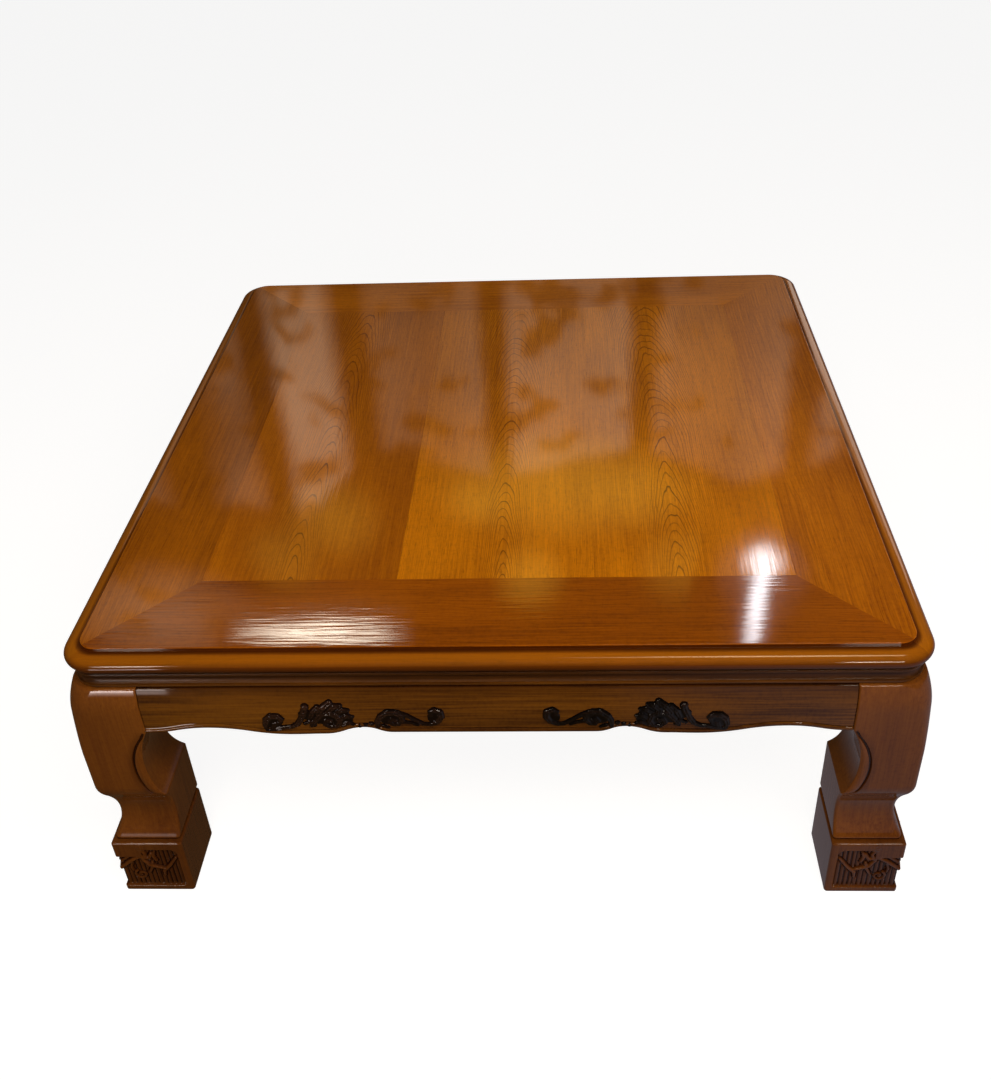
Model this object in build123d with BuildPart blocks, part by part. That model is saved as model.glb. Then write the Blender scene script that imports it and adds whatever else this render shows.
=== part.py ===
from build123d import *
import os
from math import cos, radians, sin, sqrt

# Square kang table: a framed three-board top, a moulded waist, bulging aprons, waisted legs
# and carved foot blocks. Millimetres, +Z up, origin on the floor under the middle of the top.

# ---------------------------------------------------------------- overall size
table_width = 800.0  # left to right, over the moulded edge
table_depth = 800.0  # front to back, over the moulded edge
table_height = 330.0  # floor to the top surface

# ---------------------------------------------------------------- frame of the top
frame_width = 111.0  # one mitred member, from the edge to the panel
frame_thickness = 21.0
corner_radius = 35.0  # plan rounding of the moulded edge
field_inset = 17.0  # the raised flat of the top ends this far in
field_step = 4.0  # and stands this far above the ledge round it
field_arris = 0.8  # small chamfer along its upper edge
ledge_width = 3.0
nose_rise = 8.0  # height of the upper part of the rounded nose
nose_under = 7.0  # radius of the lower quarter of the nose
mould_flats = 3  # flats that make up each rounded part of the mouldings
mitre_tenon_width = 28.0
mitre_tenon_thickness = 7.0
mitre_tenon_end = 45.0  # end of the tenon, from the outer edge of the member it enters
mitre_tenon_edge = 13.0  # wood left between the tenon and the panel side of the frame

# ---------------------------------------------------------------- floating panel
board_count = 3
panel_thickness = 14.0
panel_gap = 0.1  # hairline between the panel and its frame
tongue_drop = 5.0  # top of the tongue below the surface
tongue_thickness = 5.0
tongue_length = 9.0
board_tongue_length = 5.0  # tongue of one board in the groove of the next
board_gap = 0.15  # hairline between two boards
batten_spacing = 300.0  # between the two dovetailed battens
batten_width = 36.0
batten_height = 14.0
dovetail_neck = 24.0
dovetail_head = 30.0
dovetail_depth = 5.0
batten_tenon_width = 22.0
batten_tenon_thickness = 6.0
batten_tenon_length = 18.0
batten_tenon_rise = 2.5  # tenon above the underside of the frame

# ---------------------------------------------------------------- waist
waist_height = 18.0
waist_bead_inset = 4.5
waist_bead_height = 3.5
waist_bead_bulge = 1.1
waist_step = 0.8  # flat between the bead and the cove
waist_cove_inset = 9.2  # deepest line of the cove
waist_foot_inset = 5.5  # the thin square fillet under the cove
waist_foot_height = 2.2
waist_shadow = 1.6  # undercut that leaves a dark line over the aprons
waist_thickness = 22.5
waist_tongue_inset = 13.0
waist_tongue_width = 6.0
waist_tongue_height = 3.0

# ---------------------------------------------------------------- legs
leg_size = 69.0  # from the edge of the top inward
leg_overhang = 1.5  # the flat of the leg stands outside the edge of the top
shoulder_height = 29.0  # the bulged part at the top of the leg and the aprons
shoulder_setback = 5.0  # how far the bulge falls back at its top
shoulder_rounding = 25.0  # vertical corner at the very top
shoulder_steps = 4  # sections that the bulge is drawn through
leg_rounding = 6.0  # the same corner lower down
rounding_end = 205.0  # height at which the corner has narrowed to leg_rounding
knee_top = 160.0  # the flat of the leg ends here
knee_edge = 145.0  # sharp lower edge of the knee
knee_setback = 3.5  # the knee rolls back this far before its edge
undercut_height = 115.0  # height of the thinnest place
undercut_inset = 10.0  # face there, inside the edge of the top
ankle_inset = 0.0  # face where the leg meets the foot
hollow_depth = 11.5  # concave inner side between apron and knee
hollow_foot = 146.0
band_width = 10.0  # beaded band along the hollow
band_foot_inset = 57.0  # lower end of the groove that bounds the band
band_foot_height = 150.0
groove_width = 1.8
groove_depth = 1.0
neck_height = 3.0  # shadow gap between leg and foot
neck_recess = 4.5
leg_tenon_size = 14.0
leg_tenon_length = 11.0
leg_tenon_near = 33.0  # nearer pair of tenon faces, from the edge of the top
leg_tenon_far = 51.0  # farther pair

# ---------------------------------------------------------------- foot blocks
foot_height = 77.0
foot_overhang = 4.0  # outside the edge of the top
foot_inner = 70.0  # inner faces, from the edge of the top
foot_chamfer = 2.5  # on the upright, top and bottom edges
foot_recess_depth = 3.5
foot_recess_bottom = 8.5
foot_recess_top = 66.0
foot_recess_step_height = 55.0  # top of the recess next to the outer corner
foot_recess_step_inset = 25.0
foot_recess_side = 62.0  # inner end of the recess
foot_recess_rounding = 6.0
reed_count = 13
reed_radius = 2.0
reed_sink = 0.4  # centre of a reed below the floor of the recess
foot_peg_size = 16.0  # square loose tenon between foot and leg
foot_peg_length = 50.0
foot_peg_centre = 36.0  # from both edges of the top

# ---------------------------------------------------------------- aprons
apron_face_inset = -0.5  # just behind the face of the leg
apron_thickness = 22.0
apron_end_depth = 53.5  # depth where the apron meets the leg
apron_mid_depth = 53.5  # depth along the plain middle
crest_from_leg = 60.0  # first rise of the wavy edge
crest_depth = 46.8
dip_from_leg = 141.0
dip_depth = 56.0
dip_end_from_leg = 172.0  # the dip runs nearly level as far as this
dip_end_depth = 55.3
notch_from_leg = 209.5  # small notch between the two carvings
notch_depth = 46.7
wave_end_from_leg = 236.0
bead_height = 5.0  # raised bead along the wavy edge
bead_proud = 1.2
apron_tenon_length = 15.0
apron_tenon_thickness = 9.0
apron_tenon_height = 30.0
apron_tenon_inset = 6.5  # face of the tenon, from the edge of the top
apron_tenon_drop = 9.0  # top of the tenon below the top of the apron

# ---------------------------------------------------------------- pegs and fits
waist_peg_width = 16.0  # along the apron
waist_peg_thickness = 6.0
waist_peg_length = 24.0
waist_peg_inset = 15.5
waist_peg_spread = 420.0  # between the two pegs of one side
fit = 0.25  # clearance round tenons, tongues and pegs

# ---------------------------------------------------------------- cutting shapes
cut_clear = 3.0  # cutting shapes reach this far past the wood
same_level = 0.001  # heights closer than this count as one

# ---------------------------------------------------------------- levels and spans
frame_bottom = table_height - frame_thickness
ledge_level = table_height - field_step
nose_level = ledge_level - nose_rise
nose_width = field_inset - ledge_width
panel_bottom = table_height - panel_thickness
panel_width = table_width - 2 * frame_width
panel_depth = table_depth - 2 * frame_width
board_width = panel_width / board_count
tongue_level = table_height - tongue_drop - tongue_thickness
waist_bottom = frame_bottom - waist_height
shoulder_foot = waist_bottom - shoulder_height
leg_bottom = foot_height + neck_height
hollow_top = waist_bottom - apron_end_depth
apron_tenon_level = waist_bottom - apron_tenon_drop - apron_tenon_height / 2
mortise_length = apron_tenon_length + fit
neck_low = ankle_inset + neck_recess - leg_overhang
neck_high = leg_size - neck_recess
waist_inner = waist_bead_inset + waist_thickness
shoulder_radius = (shoulder_height**2 + shoulder_setback**2) / (2 * shoulder_setback)

os.makedirs("parts", exist_ok=True)


def save(name, builder):
    builder.part.label = name
    export_step(builder.part, f"parts/{name}.step")


# Each side of the table is seen from outside: along runs to the right, outward faces the viewer.
SIDES = {
    "front": (0, table_width, table_depth / 2),
    "right": (90, table_depth, table_width / 2),
    "back": (180, table_width, table_depth / 2),
    "left": (270, table_depth, table_width / 2),
}
CORNERS = {
    "front_left": (0, -1, -1),
    "front_right": (90, 1, -1),
    "back_right": (180, 1, 1),
    "back_left": (270, -1, 1),
}


def along(angle):
    return Vector(cos(radians(angle)), sin(radians(angle)), 0)


def outward(angle):
    return Vector(sin(radians(angle)), -cos(radians(angle)), 0)


def face_plane(side, inset=0.0):
    """Sketch plane on a side: x to the right, y up, normal outward, y = 0 on the floor."""
    angle, run, reach = SIDES[side]
    return Plane(outward(angle) * (reach - inset), x_dir=along(angle), z_dir=outward(angle))


def section_plane(side):
    """Section across a side: x inward from the edge of the top, y up."""
    angle, run, reach = SIDES[side]
    return Plane(outward(angle) * reach, x_dir=outward(angle) * -1, z_dir=along(angle))


def floor_plane(side, height):
    """Plan view of a side: x along it, y inward from the edge of the top."""
    angle, run, reach = SIDES[side]
    origin = outward(angle) * reach + Vector(0, 0, height)
    return Plane(origin, x_dir=along(angle), z_dir=(0, 0, 1))


def corner_plane(corner, height):
    """Plan view of a corner: x and y both run inward from the two edges of the top."""
    angle, sign_x, sign_y = CORNERS[corner]
    origin = Vector(sign_x * table_width / 2, sign_y * table_depth / 2, height)
    return Plane(origin, x_dir=along(angle), z_dir=(0, 0, 1))


def corner_face_plane(corner, quarter, inset):
    """Elevation of one of the two outer faces of a corner: x inward from the edge, y up.

    The normal points outward on the first face (quarter 0) and inward on the second.
    """
    angle, sign_x, sign_y = CORNERS[corner]
    origin = Vector(sign_x * table_width / 2, sign_y * table_depth / 2, 0)
    if quarter == 0:
        return Plane(origin - outward(angle) * inset, x_dir=along(angle), z_dir=outward(angle))
    inward = outward(angle) * -1
    return Plane(origin + along(angle) * inset, x_dir=inward, z_dir=along(angle))


def mould_path(height):
    """The edge of the top as a closed line, with rounded corners."""
    half_x = table_width / 2
    half_y = table_depth / 2
    with BuildLine(Plane.XY.offset(height)) as path:
        FilletPolyline(
            (-half_x, -half_y),
            (half_x, -half_y),
            (half_x, half_y),
            (-half_x, half_y),
            radius=corner_radius,
            close=True,
        )
    return path.wires()[0]


def mitre_wedge(side, height):
    """Outline of the part of the frame or waist that belongs to one side."""
    angle, run, reach = SIDES[side]
    with BuildSketch(floor_plane(side, height)) as wedge:
        with BuildLine():
            Polyline(
                (-run / 2 - cut_clear, -cut_clear),
                (run / 2 + cut_clear, -cut_clear),
                (run / 2 - frame_width, frame_width),
                (-run / 2 + frame_width, frame_width),
                close=True,
            )
        make_face()
    return wedge.sketch


def mould_plane(path):
    """Section across the start of the moulded edge: x inward, y up."""
    tangent = path.tangent_at(0)
    return Plane(path.position_at(0), x_dir=tangent.rotate(Axis.Z, 90), z_dir=tangent)


def rounded(centre_x, centre_y, reach, rise, start, end):
    """Points of a rounded moulding: part of an ellipse in a few flats, from angle to angle."""
    angles = [radians(start + (end - start) * step / mould_flats) for step in range(mould_flats + 1)]
    return [(centre_x + reach * cos(angle), centre_y + rise * sin(angle)) for angle in angles]


# ---------------------------------------------------------------- frame of the top
edge_path = mould_path(0)

with BuildPart() as frame_ring:
    with BuildSketch(Plane.XY.offset(frame_bottom)):
        RectangleRounded(table_width, table_depth, corner_radius)
        Rectangle(panel_width, panel_depth, mode=Mode.SUBTRACT)
    extrude(amount=frame_thickness)
    # The router cuts the step, the ledge and the rounded nose round all four sides.
    with BuildSketch(mould_plane(edge_path)):
        with BuildLine():
            above = table_height + cut_clear
            Polyline(
                (-cut_clear, above),
                (field_inset + field_arris, above),
                (field_inset + field_arris, table_height),
                (field_inset, table_height - field_arris),
                (field_inset, ledge_level),
                *rounded(nose_width, nose_level, nose_width, nose_rise, 90, 180),
                *rounded(nose_under, nose_level, nose_under, nose_under, 180, 270)[1:],
                (nose_under, frame_bottom - cut_clear),
                (-cut_clear, frame_bottom - cut_clear),
                close=True,
            )
        make_face()
    sweep(path=edge_path, mode=Mode.SUBTRACT)
    # The groove that takes the tongue of the panel.
    with BuildSketch(Plane.XY.offset(tongue_level - fit)):
        groove_reach = 2 * (tongue_length + fit)
        Rectangle(panel_width + groove_reach, panel_depth + groove_reach)
    extrude(amount=tongue_thickness + 2 * fit, mode=Mode.SUBTRACT)
    # The groove underneath that takes the tongue of the waist.
    with BuildSketch(Plane.XY.offset(frame_bottom)):
        for inset, mode in (
            (waist_tongue_inset - fit, Mode.ADD),
            (waist_tongue_inset + waist_tongue_width + fit, Mode.SUBTRACT),
        ):
            RectangleRounded(
                table_width - 2 * inset, table_depth - 2 * inset, corner_radius - inset, mode=mode
            )
    extrude(amount=waist_tongue_height + fit, mode=Mode.SUBTRACT)


MITRES = {
    "right": (("front", 1), ("back", -1)),
    "left": (("front", -1), ("back", 1)),
}
mitre_tenon_level = frame_bottom + (frame_thickness - mitre_tenon_thickness) / 2


def mitre_tenon(side, end, clearance):
    """Tenon that crosses one mitre, drawn in the plan of the side that receives it."""
    angle, run, reach = SIDES[side]
    low = mitre_tenon_end - clearance
    high = frame_width
    across = run / 2 - frame_width + mitre_tenon_edge + mitre_tenon_width / 2
    with BuildSketch(floor_plane(side, mitre_tenon_level - clearance)) as plan:
        with Locations((end * across, (low + high) / 2)):
            Rectangle(mitre_tenon_width + 2 * clearance, high - low)
    return plan.sketch


def leg_tenons(corner, height, clearance):
    """Plan of the two tenons on top of a leg, one each side of the mitre."""
    near = leg_tenon_near + leg_tenon_size / 2
    far = leg_tenon_far + leg_tenon_size / 2
    with BuildSketch(corner_plane(corner, height)) as plan:
        with Locations((near, far), (far, near)):
            Rectangle(leg_tenon_size + 2 * clearance, leg_tenon_size + 2 * clearance)
    return plan.sketch


for side in SIDES:
    angle, run, reach = SIDES[side]
    with BuildPart() as member:
        add(frame_ring.part)
        extrude(mitre_wedge(side, frame_bottom), amount=frame_thickness, mode=Mode.INTERSECT)
        if side in MITRES:
            for other, end in MITRES[side]:
                extrude(mitre_tenon(other, end, 0), amount=mitre_tenon_thickness)
            with BuildSketch(floor_plane(side, frame_bottom + batten_tenon_rise - fit)):
                with GridLocations(batten_spacing, 0, 2, 1):
                    with Locations((0, frame_width)):
                        Rectangle(
                            batten_tenon_width + 2 * fit, 2 * (batten_tenon_length + fit)
                        )
            extrude(amount=batten_tenon_thickness + 2 * fit, mode=Mode.SUBTRACT)
        else:
            for end in (-1, 1):
                extrude(
                    mitre_tenon(side, end, fit),
                    amount=mitre_tenon_thickness + 2 * fit,
                    mode=Mode.SUBTRACT,
                )
        for corner in CORNERS:
            extrude(
                leg_tenons(corner, frame_bottom, fit),
                amount=leg_tenon_length + fit,
                mode=Mode.SUBTRACT,
            )
    save(f"top_frame_{side}", member)

# ---------------------------------------------------------------- floating panel


def dovetail(clearance):
    """Cross-section of the dovetail tongue of a batten, or of its slot, with y = 0 below."""
    neck = dovetail_neck / 2 + clearance
    head = dovetail_head / 2 + clearance
    Polygon(
        (-neck, -cut_clear),
        (neck, -cut_clear),
        (neck, 0),
        (head, dovetail_depth + clearance),
        (-head, dovetail_depth + clearance),
        (-neck, 0),
        align=None,
    )


batten_places = [(-batten_spacing / 2, panel_bottom), (batten_spacing / 2, panel_bottom)]

for index in range(board_count):
    first = index == 0
    last = index == board_count - 1
    low = -panel_width / 2 + index * board_width
    high = low + board_width
    left = low + (panel_gap if first else board_gap / 2)
    right = high - (panel_gap if last else board_gap / 2)
    tongue_left = low - tongue_length if first else left
    tongue_right = high + tongue_length if last else right + board_tongue_length
    with BuildPart() as board:
        with BuildSketch(Plane.XY.offset(panel_bottom)):
            with Locations(((left + right) / 2, 0)):
                Rectangle(right - left, panel_depth - 2 * panel_gap)
        extrude(amount=panel_thickness)
        with BuildSketch(Plane.XY.offset(tongue_level)):
            with Locations(((tongue_left + tongue_right) / 2, 0)):
                Rectangle(tongue_right - tongue_left, panel_depth + 2 * tongue_length)
        extrude(amount=tongue_thickness)
        if not first:
            with BuildSketch(Plane.XY.offset(tongue_level - fit)):
                with Locations((left, 0)):
                    Rectangle(2 * (board_tongue_length + fit), panel_depth + 4 * tongue_length)
            extrude(amount=tongue_thickness + 2 * fit, mode=Mode.SUBTRACT)
        with BuildSketch(Plane.YZ):
            with Locations(*batten_places):
                dovetail(fit)
        extrude(amount=panel_width, both=True, mode=Mode.SUBTRACT)
    save(f"panel_board_{index + 1}", board)

for name, place in zip(("front", "back"), batten_places):
    with BuildPart() as batten:
        with BuildSketch(Plane.YZ):
            with Locations(place):
                with Locations((0, -batten_height / 2)):
                    Rectangle(batten_width, batten_height)
                dovetail(0)
        extrude(amount=panel_width / 2 - panel_gap, both=True)
        with BuildSketch(Plane.YZ):
            level = frame_bottom + batten_tenon_rise + batten_tenon_thickness / 2
            with Locations((place[0], level)):
                Rectangle(batten_tenon_width, batten_tenon_thickness)
        extrude(amount=panel_width / 2 + batten_tenon_length, both=True)
    save(f"batten_{name}", batten)

# ---------------------------------------------------------------- waist


def waist_pegs(side, height, clearance):
    """Plan of the pegs between one apron and its waist strip."""
    with BuildSketch(floor_plane(side, height)) as plan:
        with Locations((0, waist_peg_inset)):
            with GridLocations(waist_peg_spread, 0, 2, 1):
                Rectangle(waist_peg_width + 2 * clearance, waist_peg_thickness + 2 * clearance)
    return plan.sketch


waist_foot_top = waist_bottom + waist_shadow + waist_foot_height
bead_foot = frame_bottom - waist_bead_height
bead_root = waist_bead_inset + waist_bead_bulge
bead_middle = frame_bottom - waist_bead_height / 2
cove_start = bead_root + waist_step
cove_middle = (waist_foot_top + bead_foot) / 2
cove_rise = (bead_foot - waist_foot_top) / 2
cove_depth = waist_cove_inset - cove_start

with BuildPart() as waist_ring:
    with BuildSketch(mould_plane(edge_path)):
        with BuildLine():
            Polyline(
                (waist_tongue_inset, frame_bottom),
                (waist_tongue_inset, frame_bottom + waist_tongue_height),
                (waist_tongue_inset + waist_tongue_width, frame_bottom + waist_tongue_height),
                (waist_tongue_inset + waist_tongue_width, frame_bottom),
                (waist_inner, frame_bottom),
                (waist_inner, waist_bottom),
                (waist_foot_inset + waist_shadow, waist_bottom),
                (waist_foot_inset, waist_bottom + waist_shadow),
                (waist_foot_inset, waist_foot_top),
                *rounded(cove_start, cove_middle, cove_depth, cove_rise, -90, 90),
                *rounded(bead_root, bead_middle, waist_bead_bulge, waist_bead_height / 2, 270, 90),
                close=True,
            )
        make_face()
    sweep(path=edge_path)

for side in SIDES:
    with BuildPart() as strip:
        add(waist_ring.part)
        extrude(
            mitre_wedge(side, waist_bottom),
            amount=waist_height + waist_tongue_height,
            mode=Mode.INTERSECT,
        )
        pegs = waist_pegs(side, waist_bottom, fit)
        extrude(pegs, amount=waist_peg_length / 2 + fit, mode=Mode.SUBTRACT)
    save(f"waist_{side}", strip)

# ---------------------------------------------------------------- legs


def shoulder_inset(height):
    """Face of the leg above the flat: the bulge falls back on a large circle."""
    rise = max(height - shoulder_foot, 0)
    return shoulder_radius - sqrt(shoulder_radius**2 - rise**2) - leg_overhang


def lower_face(height):
    """Face of the leg below its flat: knee, then two circles that meet at the thinnest place."""
    if height > knee_edge:
        radius = ((knee_top - knee_edge) ** 2 + knee_setback**2) / (2 * knee_setback)
        drop = max(knee_top - height, 0)
        return radius - sqrt(radius**2 - drop**2) - leg_overhang
    if height > undercut_height:
        span = knee_edge - undercut_height
        depth = undercut_inset - (knee_setback - leg_overhang)
    else:
        span = undercut_height - leg_bottom
        depth = undercut_inset - ankle_inset
    radius = (span**2 + depth**2) / (2 * depth)
    return undercut_inset - radius + sqrt(radius**2 - (height - undercut_height) ** 2)


def corner_rounding(height):
    """Rounding of the outer corner: wide at the shoulder, narrow from rounding_end down."""
    share = max((height - rounding_end) / (waist_bottom - rounding_end), 0)
    return leg_rounding + (shoulder_rounding - leg_rounding) * share**1.5


def leg_section(corner, height, inset, rounding):
    """Plan section of a leg: square, with the outer corner rounded."""
    with BuildSketch(corner_plane(corner, height)) as section:
        with BuildLine():
            Polyline(
                (inset + rounding, inset),
                (leg_size, inset),
                (leg_size, leg_size),
                (inset, leg_size),
                (inset, inset + rounding),
            )
            RadiusArc((inset, inset + rounding), (inset + rounding, inset), rounding)
        make_face()
    return section.sketch


def foot_peg(corner, height, clearance):
    """Plan of the loose tenon that joins a foot block to its leg."""
    with BuildSketch(corner_plane(corner, height)) as plan:
        with Locations((foot_peg_centre, foot_peg_centre)):
            Rectangle(foot_peg_size + 2 * clearance, foot_peg_size + 2 * clearance)
    return plan.sketch


def heights(low, high, steps):
    return [low + (high - low) * step / steps for step in range(steps + 1)]


def near_corner(corner, point):
    """Whether a point lies over the outer quarter of the leg's plan."""
    place = corner_plane(corner, 0).to_local_coords(point)
    return max(place.X, place.Y) < leg_size / 2


def crossed_block(corner, levels):
    """Part of the lower leg: the face profile sawn from both outer sides, its corner rounded."""
    top = levels[-1][0]
    bottom = levels[0][0]
    with BuildPart() as block:
        for quarter, into, mode in ((0, -1, Mode.ADD), (1, 1, Mode.INTERSECT)):
            with BuildSketch(corner_face_plane(corner, quarter, -leg_overhang)):
                with BuildLine():
                    for (low, start), (high, end) in zip(levels, levels[1:]):
                        middle = (low + high) / 2
                        if start == end:
                            Line((start, low), (end, high))
                        else:
                            ThreePointArc((start, low), (lower_face(middle), middle), (end, high))
                    Polyline(
                        (levels[-1][1], top), (leg_size, top), (leg_size, bottom), (levels[0][1], bottom)
                    )
                make_face()
            extrude(amount=into * (leg_size + leg_overhang), mode=mode)
        outer_edges = [
            edge
            for edge in block.edges()
            if bottom + same_level < edge.center().Z < top - same_level
            and near_corner(corner, edge.center())
        ]
        fillet(outer_edges, leg_rounding)
    return block.part


ankle_levels = [
    (leg_bottom, ankle_inset),
    (undercut_height, undercut_inset),
    (knee_edge, knee_setback - leg_overhang),
]
knee_levels = [
    (knee_edge, knee_setback - leg_overhang),
    (knee_top, -leg_overhang),
    (rounding_end, -leg_overhang),
]

for corner in CORNERS:
    ankle = crossed_block(corner, ankle_levels)
    knee = crossed_block(corner, knee_levels)
    with BuildPart() as leg:
        add(ankle)
        add(knee)
        # Above the knee the rounded corner widens up to the bulged shoulder.
        loft(
            [
                leg_section(corner, height, -leg_overhang, corner_rounding(height))
                for height in (rounding_end, shoulder_foot)
            ],
            ruled=True,
        )
        loft(
            [
                leg_section(corner, height, shoulder_inset(height), corner_rounding(height))
                for height in heights(shoulder_foot, waist_bottom, shoulder_steps)
            ]
        )
        # Neck in the shadow gap over the foot, stub behind the waist, tenons into the frame.
        with BuildSketch(corner_plane(corner, foot_height)):
            with Locations(((neck_low + neck_high) / 2, (neck_low + neck_high) / 2)):
                Rectangle(neck_high - neck_low, neck_high - neck_low)
        extrude(amount=neck_height)
        stub = leg_section(corner, waist_bottom, waist_inner + fit, corner_radius - waist_inner - fit)
        extrude(stub, amount=waist_height)
        extrude(leg_tenons(corner, frame_bottom, 0), amount=leg_tenon_length)
        for quarter, into in ((0, -1), (1, 1)):
            # Concave inner side, cut through from one outer face to the other side.
            with BuildSketch(corner_face_plane(corner, quarter, -leg_overhang)):
                with BuildLine():
                    ThreePointArc(
                        (leg_size, hollow_foot),
                        (leg_size - hollow_depth, (hollow_foot + hollow_top) / 2),
                        (leg_size, hollow_top),
                    )
                    Polyline(
                        (leg_size, hollow_top),
                        (leg_size + cut_clear, hollow_top),
                        (leg_size + cut_clear, hollow_foot),
                        (leg_size, hollow_foot),
                    )
                make_face()
            extrude(amount=into * (leg_size + leg_overhang), mode=Mode.SUBTRACT)
            # Groove that parts the beaded band from the flat of the leg.
            with BuildSketch(corner_face_plane(corner, quarter, -leg_overhang)):
                with BuildLine():
                    ThreePointArc(
                        (leg_size, hollow_top),
                        (
                            leg_size - hollow_depth - band_width,
                            (hollow_foot + hollow_top) / 2,
                        ),
                        (band_foot_inset, band_foot_height),
                    )
                trace(line_width=groove_width)
            extrude(amount=into * groove_depth, mode=Mode.SUBTRACT)
            # Mortise for the tenon of the apron.
            with BuildSketch(corner_face_plane(corner, quarter, apron_tenon_inset - fit)):
                with Locations((leg_size - mortise_length / 2, apron_tenon_level)):
                    Rectangle(mortise_length, apron_tenon_height + 2 * fit)
            extrude(amount=into * (apron_tenon_thickness + 2 * fit), mode=Mode.SUBTRACT)
        socket = foot_peg(corner, foot_height, fit)
        extrude(socket, amount=foot_peg_length / 2 + fit, mode=Mode.SUBTRACT)
    save(f"leg_{corner}", leg)

# ---------------------------------------------------------------- foot blocks


reed_floor = foot_recess_depth - foot_overhang + reed_sink
reed_pitch = (foot_recess_side - reed_floor) / reed_count

for corner in CORNERS:
    with BuildPart() as foot:
        middle = (foot_inner - foot_overhang) / 2
        with BuildSketch(corner_plane(corner, 0)):
            with Locations((middle, middle)):
                Rectangle(foot_inner + foot_overhang, foot_inner + foot_overhang)
        extrude(amount=foot_height)
        chamfer(foot.edges().filter_by(Axis.Z), foot_chamfer)
        for level in (0, -1):
            chamfer(foot.faces().sort_by(Axis.Z)[level].edges(), foot_chamfer)
        for quarter, into in ((0, -1), (1, 1)):
            # Recess that wraps the outer corner and is lower beside it.
            with BuildSketch(corner_face_plane(corner, quarter, -foot_overhang)):
                with BuildLine():
                    FilletPolyline(
                        (-foot_overhang - cut_clear, foot_recess_bottom),
                        (foot_recess_side, foot_recess_bottom),
                        (foot_recess_side, foot_recess_top),
                        (foot_recess_step_inset, foot_recess_top),
                        (foot_recess_step_inset, foot_recess_step_height),
                        (-foot_overhang - cut_clear, foot_recess_step_height),
                        radius=(0, 0, foot_recess_rounding, 0, 0, 0),
                        close=True,
                    )
                make_face()
            extrude(amount=into * foot_recess_depth, mode=Mode.SUBTRACT)
        # Upright six-sided reeds, half sunk in the floor of the recess, on both outer faces.
        for index in range(reed_count):
            place = reed_floor + (index + 0.5) * reed_pitch
            top = foot_recess_step_height if place < foot_recess_step_inset else foot_recess_top
            if place + foot_recess_rounding > foot_recess_side:
                top -= foot_recess_rounding / 2
            with BuildSketch(corner_plane(corner, foot_recess_bottom)):
                with Locations((place, reed_floor), (reed_floor, place)):
                    RegularPolygon(reed_radius, 6)
            extrude(amount=top - foot_recess_bottom)
        socket = foot_peg(corner, foot_height, fit)
        extrude(socket, amount=-(foot_peg_length / 2 + fit), mode=Mode.SUBTRACT)
    save(f"foot_{corner}", foot)

with BuildPart() as foot_pegs:
    for corner in CORNERS:
        extrude(foot_peg(corner, foot_height - foot_peg_length / 2, 0), amount=foot_peg_length)
save("foot_pegs", foot_pegs)

# ---------------------------------------------------------------- aprons


def wave(lift, reach):
    """High and low points of the wavy edge of an apron from its left end to its middle."""
    half = [
        (0, apron_end_depth),
        (crest_from_leg, crest_depth),
        (dip_from_leg, dip_depth),
        (dip_end_from_leg, dip_end_depth),
        (notch_from_leg, notch_depth),
        (wave_end_from_leg, apron_mid_depth),
    ]
    return [(distance - reach, waist_bottom - depth + lift) for distance, depth in half]


def draw_wave(points):
    """Reversed curves of two arcs each, level at every high and low point."""
    for start, end in zip(points, points[1:]):
        middle = ((start[0] + end[0]) / 2, (start[1] + end[1]) / 2)
        TangentArc(start, middle, tangent=(1, 0))
        TangentArc(end, middle, tangent=(-1, 0))


def apron_outline(side, band):
    """Elevation of an apron between the legs, or of the bead along its wavy edge alone."""
    angle, run, reach = SIDES[side]
    half = run / 2 - leg_size
    with BuildSketch(face_plane(side, apron_face_inset)) as outline:
        for lift, mode in ((0, Mode.ADD), (bead_height, Mode.SUBTRACT)):
            if lift and not band:
                continue
            left = wave(lift, half)
            right = [(-x, y) for x, y in reversed(left)]
            with BuildLine():
                draw_wave(left)
                Line(left[-1], right[0])
                draw_wave(right)
                Polyline(right[-1], (half, waist_bottom), (-half, waist_bottom), left[0])
            make_face(mode=mode)
    return outline.sketch


for side in SIDES:
    angle, run, reach = SIDES[side]
    half = run / 2 - leg_size
    inner = apron_face_inset + apron_thickness
    with BuildPart() as apron:
        extrude(apron_outline(side, band=False), amount=-apron_thickness)
        # The face bulges: its top falls back like the shoulders of the legs.
        with BuildSketch(section_plane(side)):
            with BuildLine():
                Line((apron_face_inset, 0), (apron_face_inset, shoulder_foot))
                RadiusArc(
                    (apron_face_inset, shoulder_foot),
                    (apron_face_inset + shoulder_setback, waist_bottom),
                    shoulder_radius,
                )
                Polyline(
                    (apron_face_inset + shoulder_setback, waist_bottom),
                    (inner, waist_bottom),
                    (inner, 0),
                    (apron_face_inset, 0),
                )
            make_face()
        extrude(amount=half, both=True, mode=Mode.INTERSECT)
        extrude(apron_outline(side, band=True), amount=bead_proud)
        with BuildSketch(face_plane(side, apron_tenon_inset)):
            with Locations((0, apron_tenon_level)):
                Rectangle(2 * (half + apron_tenon_length), apron_tenon_height)
        extrude(amount=-apron_tenon_thickness)
        pegs = waist_pegs(side, waist_bottom, fit)
        extrude(pegs, amount=-(waist_peg_length / 2 + fit), mode=Mode.SUBTRACT)
    save(f"apron_{side}", apron)

with BuildPart() as waist_peg_set:
    for side in SIDES:
        pegs = waist_pegs(side, waist_bottom - waist_peg_length / 2, 0)
        extrude(pegs, amount=waist_peg_length)
save("waist_pegs", waist_peg_set)
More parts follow.
